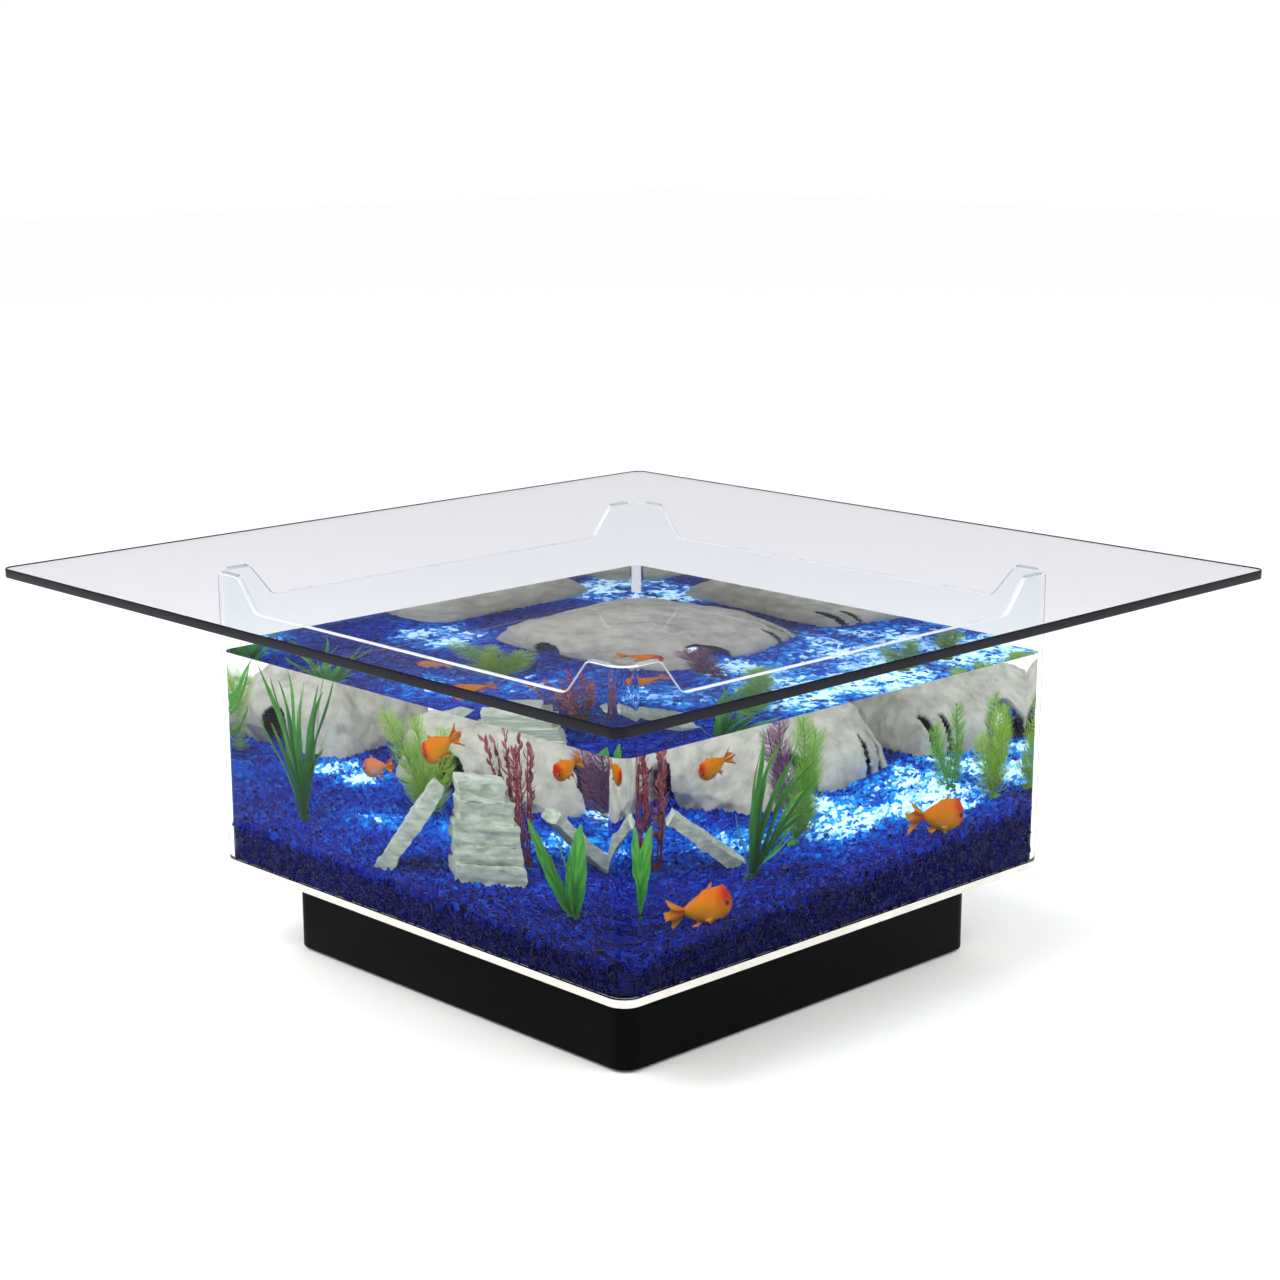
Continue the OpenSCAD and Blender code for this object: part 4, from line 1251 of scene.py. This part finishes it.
@dataclass
class Ruin:
    """The little ruin: a stack of stone courses with two slabs leaning on it.

    courses are shift across, shift along, width and depth in millimetres, and share of the height.
    """

    bed: Bed
    place: tuple[float, float] = (44 * MM, -196 * MM)
    turn: float = 46
    height: float = 104 * MM
    courses: tuple[tuple[float, float, float, float, float], ...] = (
        (5, 0, 86, 42, 0.2), (5, 1, 79, 38, 0.18), (2, 2, 78, 38, 0.2), (2, 1, 68, 35, 0.22),
        (-3, 2, 59, 32, 0.2))
    sunk: float = 14 * MM
    slab_sunk: float = 12

    def hewn(self, stone: Surface, seed: int, layers: float) -> Surface:
        """Wears a stone's faces: noise along each axis, and thin layers that step in and out.

        Layers follow the stone's own height: inset = depth times a noise of height alone.

        Args:
            stone: a plain block.
            seed: picks the noise.
            layers: how far the layers step.

        Returns:
            The worn stone.
        """
        p = stone.points
        shift = np.stack([fractal(p + seed, 0.014, 3, seed + k) for k in range(3)], axis=1) * 2.0 * MM
        step = lattice_noise(np.c_[np.zeros((len(p), 2)) + seed, p[:, 2]], 0.0045, seed)
        side = p * [1, 1, 0] / np.maximum(np.abs(p[:, :2]).max(1), 1e-6)[:, None]
        shift += side * (layers * step)[:, None]
        return Surface(p + shift, stone.faces, stone.tone, stone.slots)

    def stack(self) -> None:
        """The courses, one worn block on another."""
        x, y = self.place
        base, parts = self.bed.height(x, y), []
        z = 0.0
        for n, (dx, dy, w, d, share) in enumerate(self.courses):
            sunk = self.sunk if n == 0 else 1 * MM
            high = self.height * share
            plain = block(np.array([w * MM, d * MM, high + sunk]), 2.2 * MM)
            stone = self.hewn(plain, SEED + 20 + n, 1.8 * MM)
            shift = turn_z(self.turn) @ [dx * MM, dy * MM, 0]
            parts.append(stone.moved(turn_z(self.turn), np.array([x, y, base + z - sunk]) + shift))
            z += high
        put("ruin_courses", joined(parts), [RUIN.made()], "tank", ("ruin_stack",), sharp=50)

    def slab(self, node: str, foot: tuple[float, float], turn: float, lean: float,
             size: tuple[float, float, float], seed: int) -> None:
        """Builds a flat stone that leans from its foot on the gravel, where it narrows.

        Args:
            node: the node that it stands for.
            foot: its foot's place in millimetres.
            turn: the way it leans, in degrees about +Z.
            lean: how far it leans, in degrees.
            size: thickness, width and length in millimetres.
            seed: picks the noise.
        """
        plain = block(np.array([size[0], size[1], size[2] + self.slab_sunk]) * MM, 2.4 * MM)
        stone = self.hewn(plain, seed, 1.2 * MM)
        share = np.clip(stone.points[:, 2] / (0.45 * size[2] * MM), 0, 1)
        stone.points[:, 1] *= 0.55 + 0.45 * share
        x, y = foot[0] * MM, foot[1] * MM
        matrix = turn_z(turn) @ turn_y(lean)
        offset = np.array([x, y, self.bed.height(x, y)]) + matrix @ [0, 0, -self.slab_sunk * MM]
        put(node + "_stone", stone.moved(matrix, offset), [RUIN.made()], "tank", (node,),
            sharp=50)

    def build(self) -> None:
        """Builds the stack and both slabs."""
        self.stack()
        self.slab("ruin_slab_front", (-62, -262), 30, 38, (17, 40, 116), SEED + 30)
        self.slab("ruin_slab_back", (125, -45), 244, 53, (13, 34, 100), SEED + 31)


# ---------------------------------------------------------------- plants


@dataclass
class Plants:
    """Soft plastic plants, each growing from a weighted foot in the gravel."""

    bed: Bed
    foot_r: float = 9 * MM
    foot_h: float = 7 * MM
    whorl: int = 9
    whorl_pitch: float = 5.5 * MM

    def foot(self) -> Surface:
        """Returns the weighted foot: a short cone."""
        z = np.array([[0, 0, 0], [0, 0, 0.3], [0, 0, 0.8], [0, 0, 1]]) * self.foot_h
        return tube(z, np.array([1, 0.95, 0.75, 0.5]) * self.foot_r, 16, tone=0.0)

    def ribbon(self, length: float, width: float, bow: float, turn: float, lean: float = 0.0,
               twist: float = 0.0) -> Surface:
        """Makes a ribbon leaf that leans and bows outwards along an arc.

        At a share s of its length the leaf has turned by s length / bow. Its half-width is
        width / 2 times sin(pi (0.05 + 0.94 s)^0.8)^0.6, with a ripple, and the leaf sways sideways
        and twists slowly along its length.

        Args:
            length: length of the leaf.
            width: its greatest width.
            bow: radius of the arc.
            turn: the way it bows, in degrees about +Z.
            lean: lean at the foot, in degrees.
            twist: twist from foot to tip, in radians.

        Returns:
            The leaf, from its foot at the origin.
        """
        s = np.linspace(0, 1, 26)
        angle = s * length / bow
        out = 3 * MM + bow * (1 - np.cos(angle)) + 3.5 * MM * s * np.sin(7 * s + 2 * turn)
        sway = 5 * MM * s * np.sin(6 * s + turn)
        path = np.stack([out, sway, 3 * MM + bow * np.sin(angle)], axis=1)
        ripple = 1 + 0.16 * np.sin(17 * s + turn)
        half = width / 2 * np.sin(math.pi * (0.05 + 0.94 * s) ** 0.8) ** 0.6 * ripple
        spin = twist * s
        across = np.stack([np.sin(spin), np.cos(spin), 0 * s], axis=1)
        leaf = tube(path, half, 8, 0.13, across, 0.25 + 0.6 * s)
        return leaf.moved(turn_z(turn) @ turn_y(lean), np.zeros(3))

    def blade(self, length: float, width: float, lean: float, turn: float) -> Surface:
        """Makes a broad pointed leaf: a grid folded along its midrib and bowed back towards its tip.

        At a share s of its length the half-width is width / 2 sin(pi (0.04 + 0.955 s)^0.85)^0.75.
        The tone shows a pale midrib and slanting side veins.

        Args:
            length: length of the leaf.
            width: its greatest width.
            lean: lean at the foot, in degrees.
            turn: the way it leans, in degrees about +Z.

        Returns:
            The leaf, from its foot near the origin.
        """
        s = np.linspace(0, 1, 34)[:, None]
        v = np.linspace(-1, 1, 13)[None]
        half = width / 2 * np.sin(math.pi * (0.04 + 0.955 * s) ** 0.85) ** 0.75
        x = half * v * 0.15 * np.abs(v) + 7 * MM * s * s + 0.6 * MM * np.sin(26 * s) * v * v
        grid = np.stack([x, half * v, length * (s + 0 * v)], axis=-1)
        midrib, veins = np.exp(-((v / 0.12) ** 2)), np.cos(22 * (s - 0.35 * np.abs(v)))
        leaf = sheet(grid, 1.3 * MM, np.clip(0.35 + 0.4 * s + 0.25 * midrib - 0.12 * veins, 0, 1))
        return leaf.moved(turn_z(turn) @ turn_y(lean), np.array([0, 0, 3 * MM]))

    def needle(self, length: float, thick: float) -> Surface:
        """Makes a thin forked needle along +X that curls up towards its tip.

        Args:
            length: length of the needle.
            thick: its half-width at the foot.

        Returns:
            The needle.
        """
        s = np.linspace(0, 1, 4)
        stalk = np.stack([length * s, 0 * s, 0.45 * length * s * s], axis=1)
        parts = [tube(stalk, thick * (1 - 0.6 * s), 3, tone=0.3 * s - 0.1)]
        for side in (-1, 1):
            fork = np.stack([0.3 + 0.6 * s, side * 0.34 * s, 0.06 + 0.5 * s * s], axis=1)
            parts.append(tube(length * fork, thick * (0.9 - 0.5 * s), 3, tone=0.3 * s))
        return joined(parts)

    def feather(self, length: float, r: float, lean: float, turn: float,
                rng: np.random.Generator) -> list[Surface]:
        """Makes a stem ringed with whorls of forked needles, longest low down.

        Args:
            length: length of the stem.
            r: about how far the needles reach.
            lean: lean at the foot, in degrees.
            turn: the way it leans, in degrees about +Z.
            rng: source of the random draws.

        Returns:
            The stem and its needles.
        """
        s = np.linspace(0, 1, 12)
        bow = 0.05 * length * np.sin(math.pi * s)
        path = np.stack([bow, 0 * s, length * s], axis=1)
        stem = tube(path, (1.3 - 0.7 * s) * MM, 6, tone=0.2 + 0.3 * s)
        z = np.repeat(np.arange(7 * MM, length, self.whorl_pitch), self.whorl)
        share = z / length
        spin = rng.uniform(0, 2 * math.pi, len(z))
        size = (1 - 0.4 * share) * rng.uniform(0.8, 1.15, len(z)) * np.clip(6 * (1.06 - share), 0, 1)
        matrices = aimed(spin, rng.uniform(0.05, 0.75, len(z))) * size[:, None, None]
        offsets = np.stack([0.05 * length * np.sin(math.pi * share), 0 * z, z], axis=1)
        tones = np.clip(0.25 + 0.45 * share + rng.uniform(-0.15, 0.2, len(z)), 0, 1)
        whorls = copies(self.needle(1.9 * r, 0.5 * MM), matrices, offsets, tones)
        matrix, offset = turn_z(turn) @ turn_y(lean), turn_z(turn) @ np.array([1 * MM, 0, 2 * MM])
        return [part.moved(matrix, offset) for part in (stem, whorls)]

    def twig(self, length: float, lean: float, turn: float, rng: np.random.Generator) -> list[Surface]:
        """Makes a thin woody stem with pairs of small narrow leaves.

        Args:
            length: length of the stem.
            lean: lean at the foot, in degrees.
            turn: the way it leans, in degrees about +Z.
            rng: source of the random draws.

        Returns:
            The stem and its leaves.
        """
        s = np.linspace(0, 1, 14)
        bow = 0.04 * length * np.sin(2.4 * s + turn)
        path = np.stack([bow, 0 * s, length * s], axis=1)
        stem = tube(path, (1.2 - 0.7 * s) * MM, 6, tone=0.1 + 0.2 * s)
        u = np.linspace(0, 1, 7)[:, None]
        v = np.linspace(-1, 1, 4)[None]
        half = 2.3 * MM * np.sin(math.pi * (0.05 + 0.9 * u))
        grid = np.stack([10 * MM * (u + 0 * v), half * v, 4 * MM * u * u + 0 * v], axis=-1)
        leaf = sheet(grid, 0.7 * MM, 0 * u * v)
        z = np.repeat(np.arange(0.22 * length, length, 6.5 * MM), 2)
        count = len(z)
        spin = rng.uniform(0, 2 * math.pi, count)
        matrices = aimed(spin, rng.uniform(0.3, 1.1, count))
        matrices = matrices * rng.uniform(0.6, 1.2, count)[:, None, None]
        offsets = np.stack([0.04 * length * np.sin(2.4 * z / length + turn), 0 * z, z], axis=1)
        leaves = copies(leaf, matrices, offsets, rng.uniform(0.2, 0.9, count))
        matrix, offset = turn_z(turn) @ turn_y(lean), turn_z(turn) @ np.array([4 * MM, 0, 2 * MM])
        return [part.moved(matrix, offset) for part in (stem, leaves)]

    def plant(self, node: str, place: tuple[float, float], parts: list[Surface], finish: Finish) -> None:
        """Stands a plant's parts on the gravel as one piece.

        Args:
            node: the node that it stands for.
            place: its place in millimetres.
            parts: its stems and leaves.
            finish: its finish.
        """
        matrix, offset = self.bed.frame(place[0] * MM, place[1] * MM)
        whole = joined([self.foot()] + parts).moved(matrix, offset)
        put(node + "_leaves", whole, [finish.made()], "tank", (node,), sharp=60)

    def build(self) -> None:
        """Builds the nine plants."""
        rng = np.random.default_rng(SEED + 40)
        left = [self.ribbon((150 + 9 * (n % 3)) * MM, 7.5 * MM, (320 + 110 * (n % 4)) * MM,
                            33 * n + 12, 1 + 5 * (n % 3), 1.2) for n in range(11)]
        left += [self.ribbon((84 + 12 * n) * MM, 7 * MM, (220 + 30 * n) * MM,
                             60 * n + 35, 6 + 3 * n, -1.1) for n in range(6)]
        self.plant("ribbon_plant_left", (-227, -212), left, LEAF_DARK)
        right = [self.ribbon((122 + 7 * n) * MM, 8 * MM, (190 + 26 * n) * MM,
                             26 + 17 * n, 30 - 6 * n, 1.1) for n in range(6)]
        right += [self.ribbon((78 + 9 * n) * MM, 7.5 * MM, (140 + 25 * n) * MM,
                              8 + 16 * n, 38 - 5 * n, -1.0) for n in range(8)]
        right.append(self.ribbon(70 * MM, 9 * MM, 160 * MM, 250))
        self.plant("ribbon_plant_right", (185, -67), right, LEAF_DARK)
        blades = [self.blade(104 * MM, 32 * MM, -34, 20), self.blade(90 * MM, 27 * MM, 12, 100),
                  self.ribbon(90 * MM, 7 * MM, 240 * MM, 205), self.blade(52 * MM, 13 * MM, -12, 60)]
        self.plant("sword_plant", (183, -215), blades, LEAF_BROAD)
        twigs = [part for n in range(11)
                 for part in self.twig((112 + 8 * (n % 4)) * MM, 6 + 5 * (n % 4), 95 + 19 * n, rng)]
        self.plant("twig_plant", (52, -114), twigs, TWIG)
        # Each stem: length and reach in millimetres, lean and turn in degrees.
        feathers = (
            ("feather_left", (-128, -66), ((118, 15, -30, 12), (104, 15, -12, -10), (96, 14, 16, 60)),
             FROND, "feather_green"),
            ("feather_middle", (132, 28), ((132, 15, 6, 60), (118, 14, 20, 100)),
             FROND_MOSS, "feather_green"),
            ("feather_purple", (44, 84), ((116, 13, 8, 200), (100, 12, 24, 190)),
             FROND_WINE, "feather_purple"),
            ("feather_far", (142, 262), ((92, 11, 5, 80), (76, 10, 14, 250)),
             FROND_MOSS, "feather_green"),
            ("bush_far", (232, 272), ((100, 13, 4, 10), (74, 12, 14, 250)), FROND, "feather_green"))
        for node, place, stems, finish, slot in feathers:
            parts = [part for length, r, lean, turn in stems
                     for part in self.feather(length * MM, r * MM, lean, turn, rng)]
            self.plant(node, place, parts, finish)


# ---------------------------------------------------------------- goldfish


@dataclass
class Goldfish:
    """A plump goldfish with its nose along +X, swimming at a place in the tank."""

    number: int
    place: tuple[float, float, float]
    heading: float
    pitch: float
    length: float
    skin: Finish = GOLDFISH

    def body(self) -> Surface:
        """Makes the body: ellipses across X, tall and a little narrow, with a raised crown.

        At a share t of the body from the nose, the half-height is 0.9 body times
        0.36 sin(pi t^0.72)^0.8 (1 - t / 4) + t / 20, and the crown lifts the head's top.

        Returns:
            The body, golden below and red towards the crown.
        """
        body = 0.66 * self.length
        t = np.linspace(0.0, 1.0, 40) ** 1.3
        shape = 0.36 * np.sin(math.pi * t**0.72) ** 0.8 * (1 - 0.25 * t) + 0.05 * t
        tall = 0.9 * body * np.maximum(shape, 0.004)
        path = np.stack([body * (0.55 - t), 0 * t, 0 * t], axis=1)
        across = np.tile([0.0, 0.0, 1.0], (40, 1))
        fish = tube(path, tall, 28, 0.82, across)
        x, z = fish.points[:, 0] / body, fish.points[:, 2] / body
        crown = np.exp(-(((x - 0.37) / 0.1) ** 2)) * np.clip(z * 8, 0, 1)
        lumps = lattice_noise(fish.points + self.number, 3.2 * MM, SEED + 60)
        fish.points[:, 2] += body * 0.045 * crown + crown * lumps * 0.9 * MM
        belly = np.clip(0.5 - z * 3.0, 0, 1)
        head, tail = np.clip((x - 0.2) * 4.5, 0, 1), np.clip((-x - 0.25) * 4, 0, 1)
        fish.tone = np.clip(0.55 - 0.42 * belly + 0.55 * head * (1 - 0.5 * belly) + 0.25 * tail, 0, 1)
        return fish

    def fan(self, root: tuple[float, float, float], reach: float, spread: tuple[float, float],
            yaw: float, wave: float = 0.06) -> Surface:
        """Makes a fin: a fan of rays from its root, in an upright plane.

        Point (u, v) is root + reach u (cos a, 0, sin a), with a running from one angle to the
        other along v, the reach shortened between the fan's tips, and a wave along the rays.

        Args:
            root: its root, as a share of the fish's length.
            reach: length of its rays, as a share of the fish's length.
            spread: its two angles, in degrees.
            yaw: turn of its plane about +Z, in degrees.
            wave: height of the wave, as a share of the fish's length.

        Returns:
            The fin.
        """
        u = np.linspace(0.04, 1, 14)[:, None]
        v = np.linspace(0, 1, 25)[None]
        a = np.radians(spread[0] + (spread[1] - spread[0]) * v)
        notch = 1 - 0.28 * np.sin(math.pi * v) ** 2 + 0.03 * np.sin(40 * v)
        r = reach * self.length * u * notch
        side = self.length * wave * u * np.sin(9 * v + 2 * u)
        grid = np.stack([r * np.cos(a), side, r * np.sin(a)], axis=-1) @ turn_z(yaw).T
        tone = 0.75 - 0.5 * u + 0.14 * np.sin(60 * v)
        fin = sheet(grid + np.array(root) * self.length, 0.028 * self.length, np.clip(tone, 0, 1))
        fin.slots = [1] * len(fin.faces)
        return fin

    def eye(self, side: int) -> Surface:
        """Makes an eye: a small ball with a dark pupil that looks outwards, and a gold rim.

        Args:
            side: 1 for the left eye, -1 for the right.

        Returns:
            The eye.
        """
        rise = np.linspace(0, math.pi, 12)
        r = 0.034 * self.length
        path = np.stack([0 * rise, -np.cos(rise) * r, 0 * rise], axis=1)
        tone = np.where(rise > 0.62 * math.pi, 0.1, 0.8)
        ball = tube(path, np.maximum(np.sin(rise) * r, 0.01 * MM), 16, tone=tone)
        if side < 0:
            ball = ball.moved(turn_z(180), np.zeros(3))
        ball.slots = [2] * len(ball.faces)
        return ball.moved(np.eye(3), np.array([0.285, side * 0.112, 0.03]) * self.length)

    def build(self, bed: Bed) -> None:
        """Joins the fish's parts and sets it swimming.

        Args:
            bed: the gravel's plane, whose floor the fish's height is measured from.
        """
        fins = [self.fan((-0.24, 0, 0.01), 0.32, (148, 190), 14),
                self.fan((-0.24, 0, -0.01), 0.33, (178, 224), -14),
                self.fan((0.08, 0, 0.1), 0.17, (85, 158), 0, 0.02)]
        for side in (-1, 1):
            fins.append(self.fan((0.12, side * 0.1, -0.08), 0.15, (190, 245), -side * 35, 0.03))
            fins.append(self.fan((-0.06, side * 0.05, -0.14), 0.13, (195, 250), -side * 20, 0.03))
        whole = joined([self.body()] + fins + [self.eye(1), self.eye(-1)])
        x, y, z = self.place
        matrix = turn_z(self.heading) @ turn_y(-self.pitch)
        fish = whole.moved(matrix, np.array([x * MM, y * MM, bed.bottom + z * MM]))
        materials = [self.skin.made(), FISH_FIN.made(), FISH_EYE.made()]
        put(f"goldfish_{self.number}_fish", fish, materials, "tank",
            (f"goldfish_{self.number}",), sharp=60)


SHOAL = (
    Goldfish(1, (-20, -196, 161), 212, -34, 62 * MM), Goldfish(2, (60, -40, 137), 250, -24, 50 * MM),
    Goldfish(3, (-170, -122, 103), 200, -14, 50 * MM, FISH_CORAL),
    Goldfish(4, (256, -172, 52), 60, 3, 84 * MM),
    Goldfish(5, (270, 158, 73), 66, -8, 84 * MM), Goldfish(6, (32, -12, 190), 20, 0, 60 * MM))


@dataclass
class Equipment:
    """The filter, the lamps and the tray they stand on, inside the rock."""

    finishes: tuple[tuple[Finish, tuple[str, ...]], ...] = (
        (ABS, ("equipment_tray", "filter_housing", "volute_cover", "outlet_nozzle", "filter_basket",
               "lamp_1_bracket", "lamp_2_bracket", "lamp_1_housing", "lamp_2_housing")),
        (RUBBER, ("filter_seal", "cable_gland", "lamp_1_gland", "lamp_2_gland")),
        (RESIN, ("pump_stator",)), (ACETAL, ("impeller",)), (CERAMIC, ("impeller_shaft",)),
        (SPONGE, ("filter_sponge",)), (SUCTION, ("suction_feet",)),
        (CIRCUIT, ("lamp_1_board", "lamp_2_board")),
        (LED_LENS, ("lamp_1_lens", "lamp_2_lens")), (ANODISED, ("lamp_1_bezel", "lamp_2_bezel")),
        (STEEL_PIN, ("lamp_pivots",)))

    def build(self) -> None:
        """Dresses every piece of equipment."""
        dress_all(self.finishes)


# ---------------------------------------------------------------- stage


@dataclass
class Stage:
    """Floor, light and camera."""

    focal: float = 71.0
    azimuth: float = 46.03
    elevation: float = 14.52
    roll: float = -0.13
    distance: float = 2.617
    target: tuple[float, float, float] = (-0.0035, -0.0035, 0.250)
    shift: tuple[float, float] = (0.0107, 0.0619)
    reach: float = 12.0
    aim: tuple[float, float, float] = (0.0, 0.0, 0.2)

    def camera(self) -> None:
        """Places the camera at its azimuth and elevation about the target."""
        a, e = math.radians(self.azimuth), math.radians(self.elevation)
        back = np.array([math.sin(a) * math.cos(e), -math.cos(a) * math.cos(e), math.sin(e)])
        data = bpy.data.cameras.new("camera")
        data.lens = self.focal
        data.sensor_width = 36
        data.shift_x, data.shift_y = self.shift
        data.clip_end = 50
        camera = bpy.data.objects.new("camera", data)
        place = np.array(self.target) + back * self.distance
        camera.matrix_world = aligned(back, place, math.radians(self.roll))
        bpy.context.scene.collection.objects.link(camera)
        bpy.context.scene.camera = camera

    def world(self) -> None:
        """Builds a white room under a dark ceiling: the eye and reflections see full white low down.

        Diffuse rays meet an even white everywhere, so the ceiling dims only what is mirrored.
        """
        world = bpy.data.worlds.new("white_room")
        world.use_nodes = True
        tree = world.node_tree
        path = add_node(tree, "ShaderNodeLightPath")
        seen = path.outputs["Is Camera Ray"]
        for kind in ("Is Glossy Ray", "Is Transmission Ray"):
            either = add_node(tree, "ShaderNodeMath", {"operation": "MAXIMUM"},
                              {0: seen, 1: path.outputs[kind]})
            seen = either.outputs[0]
        way = add_node(tree, "ShaderNodeTexCoord")
        axes = add_node(tree, "ShaderNodeSeparateXYZ", links={"Vector": way.outputs["Generated"]})
        ceiling = add_node(tree, "ShaderNodeMapRange", {
            "From Min": 0.05, "From Max": 0.2, "To Min": 1.0, "To Max": 0.1}, {"Value": axes.outputs["Z"]})
        power = add_node(tree, "ShaderNodeMix", {"data_type": "FLOAT", "A": 0.98},
                         {"Factor": seen, "B": ceiling.outputs["Result"]})
        tree.links.new(power.outputs["Result"], tree.nodes["Background"].inputs["Strength"])
        tree.nodes["Background"].inputs["Color"].default_value = (1, 1, 1, 1)
        bpy.context.scene.world = world

    def floor(self) -> None:
        """Lays a wide white floor that keeps the object's shadow."""
        mesh = bpy.data.meshes.new("studio_floor")
        corners = [(x * self.reach, y * self.reach, 0) for x, y in ((-1, -1), (1, -1), (1, 1), (-1, 1))]
        mesh.from_pydata(corners, [], [(0, 1, 2, 3)])
        material = bpy.data.materials.new("paper_backdrop_white")
        material.use_nodes = True
        shader = material.node_tree.nodes["Principled BSDF"]
        shader.inputs["Base Color"].default_value = (1, 1, 1, 1)
        shader.inputs["Roughness"].default_value = 1.0
        shader.inputs["Specular IOR Level"].default_value = 0.0
        mesh.materials.append(material)
        floor = bpy.data.objects.new("studio_floor", mesh)
        bpy.context.scene.collection.objects.link(floor)

    def lamp(self, name: str, place: tuple[float, float, float], size: float, watts: float) -> None:
        """Hangs a soft square lamp, aimed at the middle of the object.

        Args:
            name: the lamp's name.
            place: where it hangs.
            size: its side in metres.
            watts: its power.
        """
        data = bpy.data.lights.new(name, "AREA")
        data.size = size
        data.energy = watts
        lamp = bpy.data.objects.new(name, data)
        lamp.matrix_world = aligned(unit(np.array(place) - self.aim), np.array(place))
        lamp.visible_glossy = False
        bpy.context.scene.collection.objects.link(lamp)

    def build(self) -> None:
        """Builds the stage."""
        self.camera()
        self.world()
        self.floor()
        self.lamp("key_lamp", (-0.6, -2.2, 2.6), 1.6, 58)
        self.lamp("fill_lamp", (2.4, 0.6, 2.2), 1.6, 30)
        bpy.context.scene.view_settings.view_transform = "Standard"


def main() -> None:
    """Builds every part of the model in order."""
    logging.basicConfig(level=logging.INFO, format="%(message)s")
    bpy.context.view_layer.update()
    Stage().build()
    Plinth().build()
    Tank().build()
    bed = Bed()
    Gravel(bed).build()
    Equipment().build()
    Rock(bed).build()
    Ruin(bed).build()
    Plants(bed).build()
    for fish in SHOAL:
        fish.build(bed)


if __name__ == "__main__":
    main()
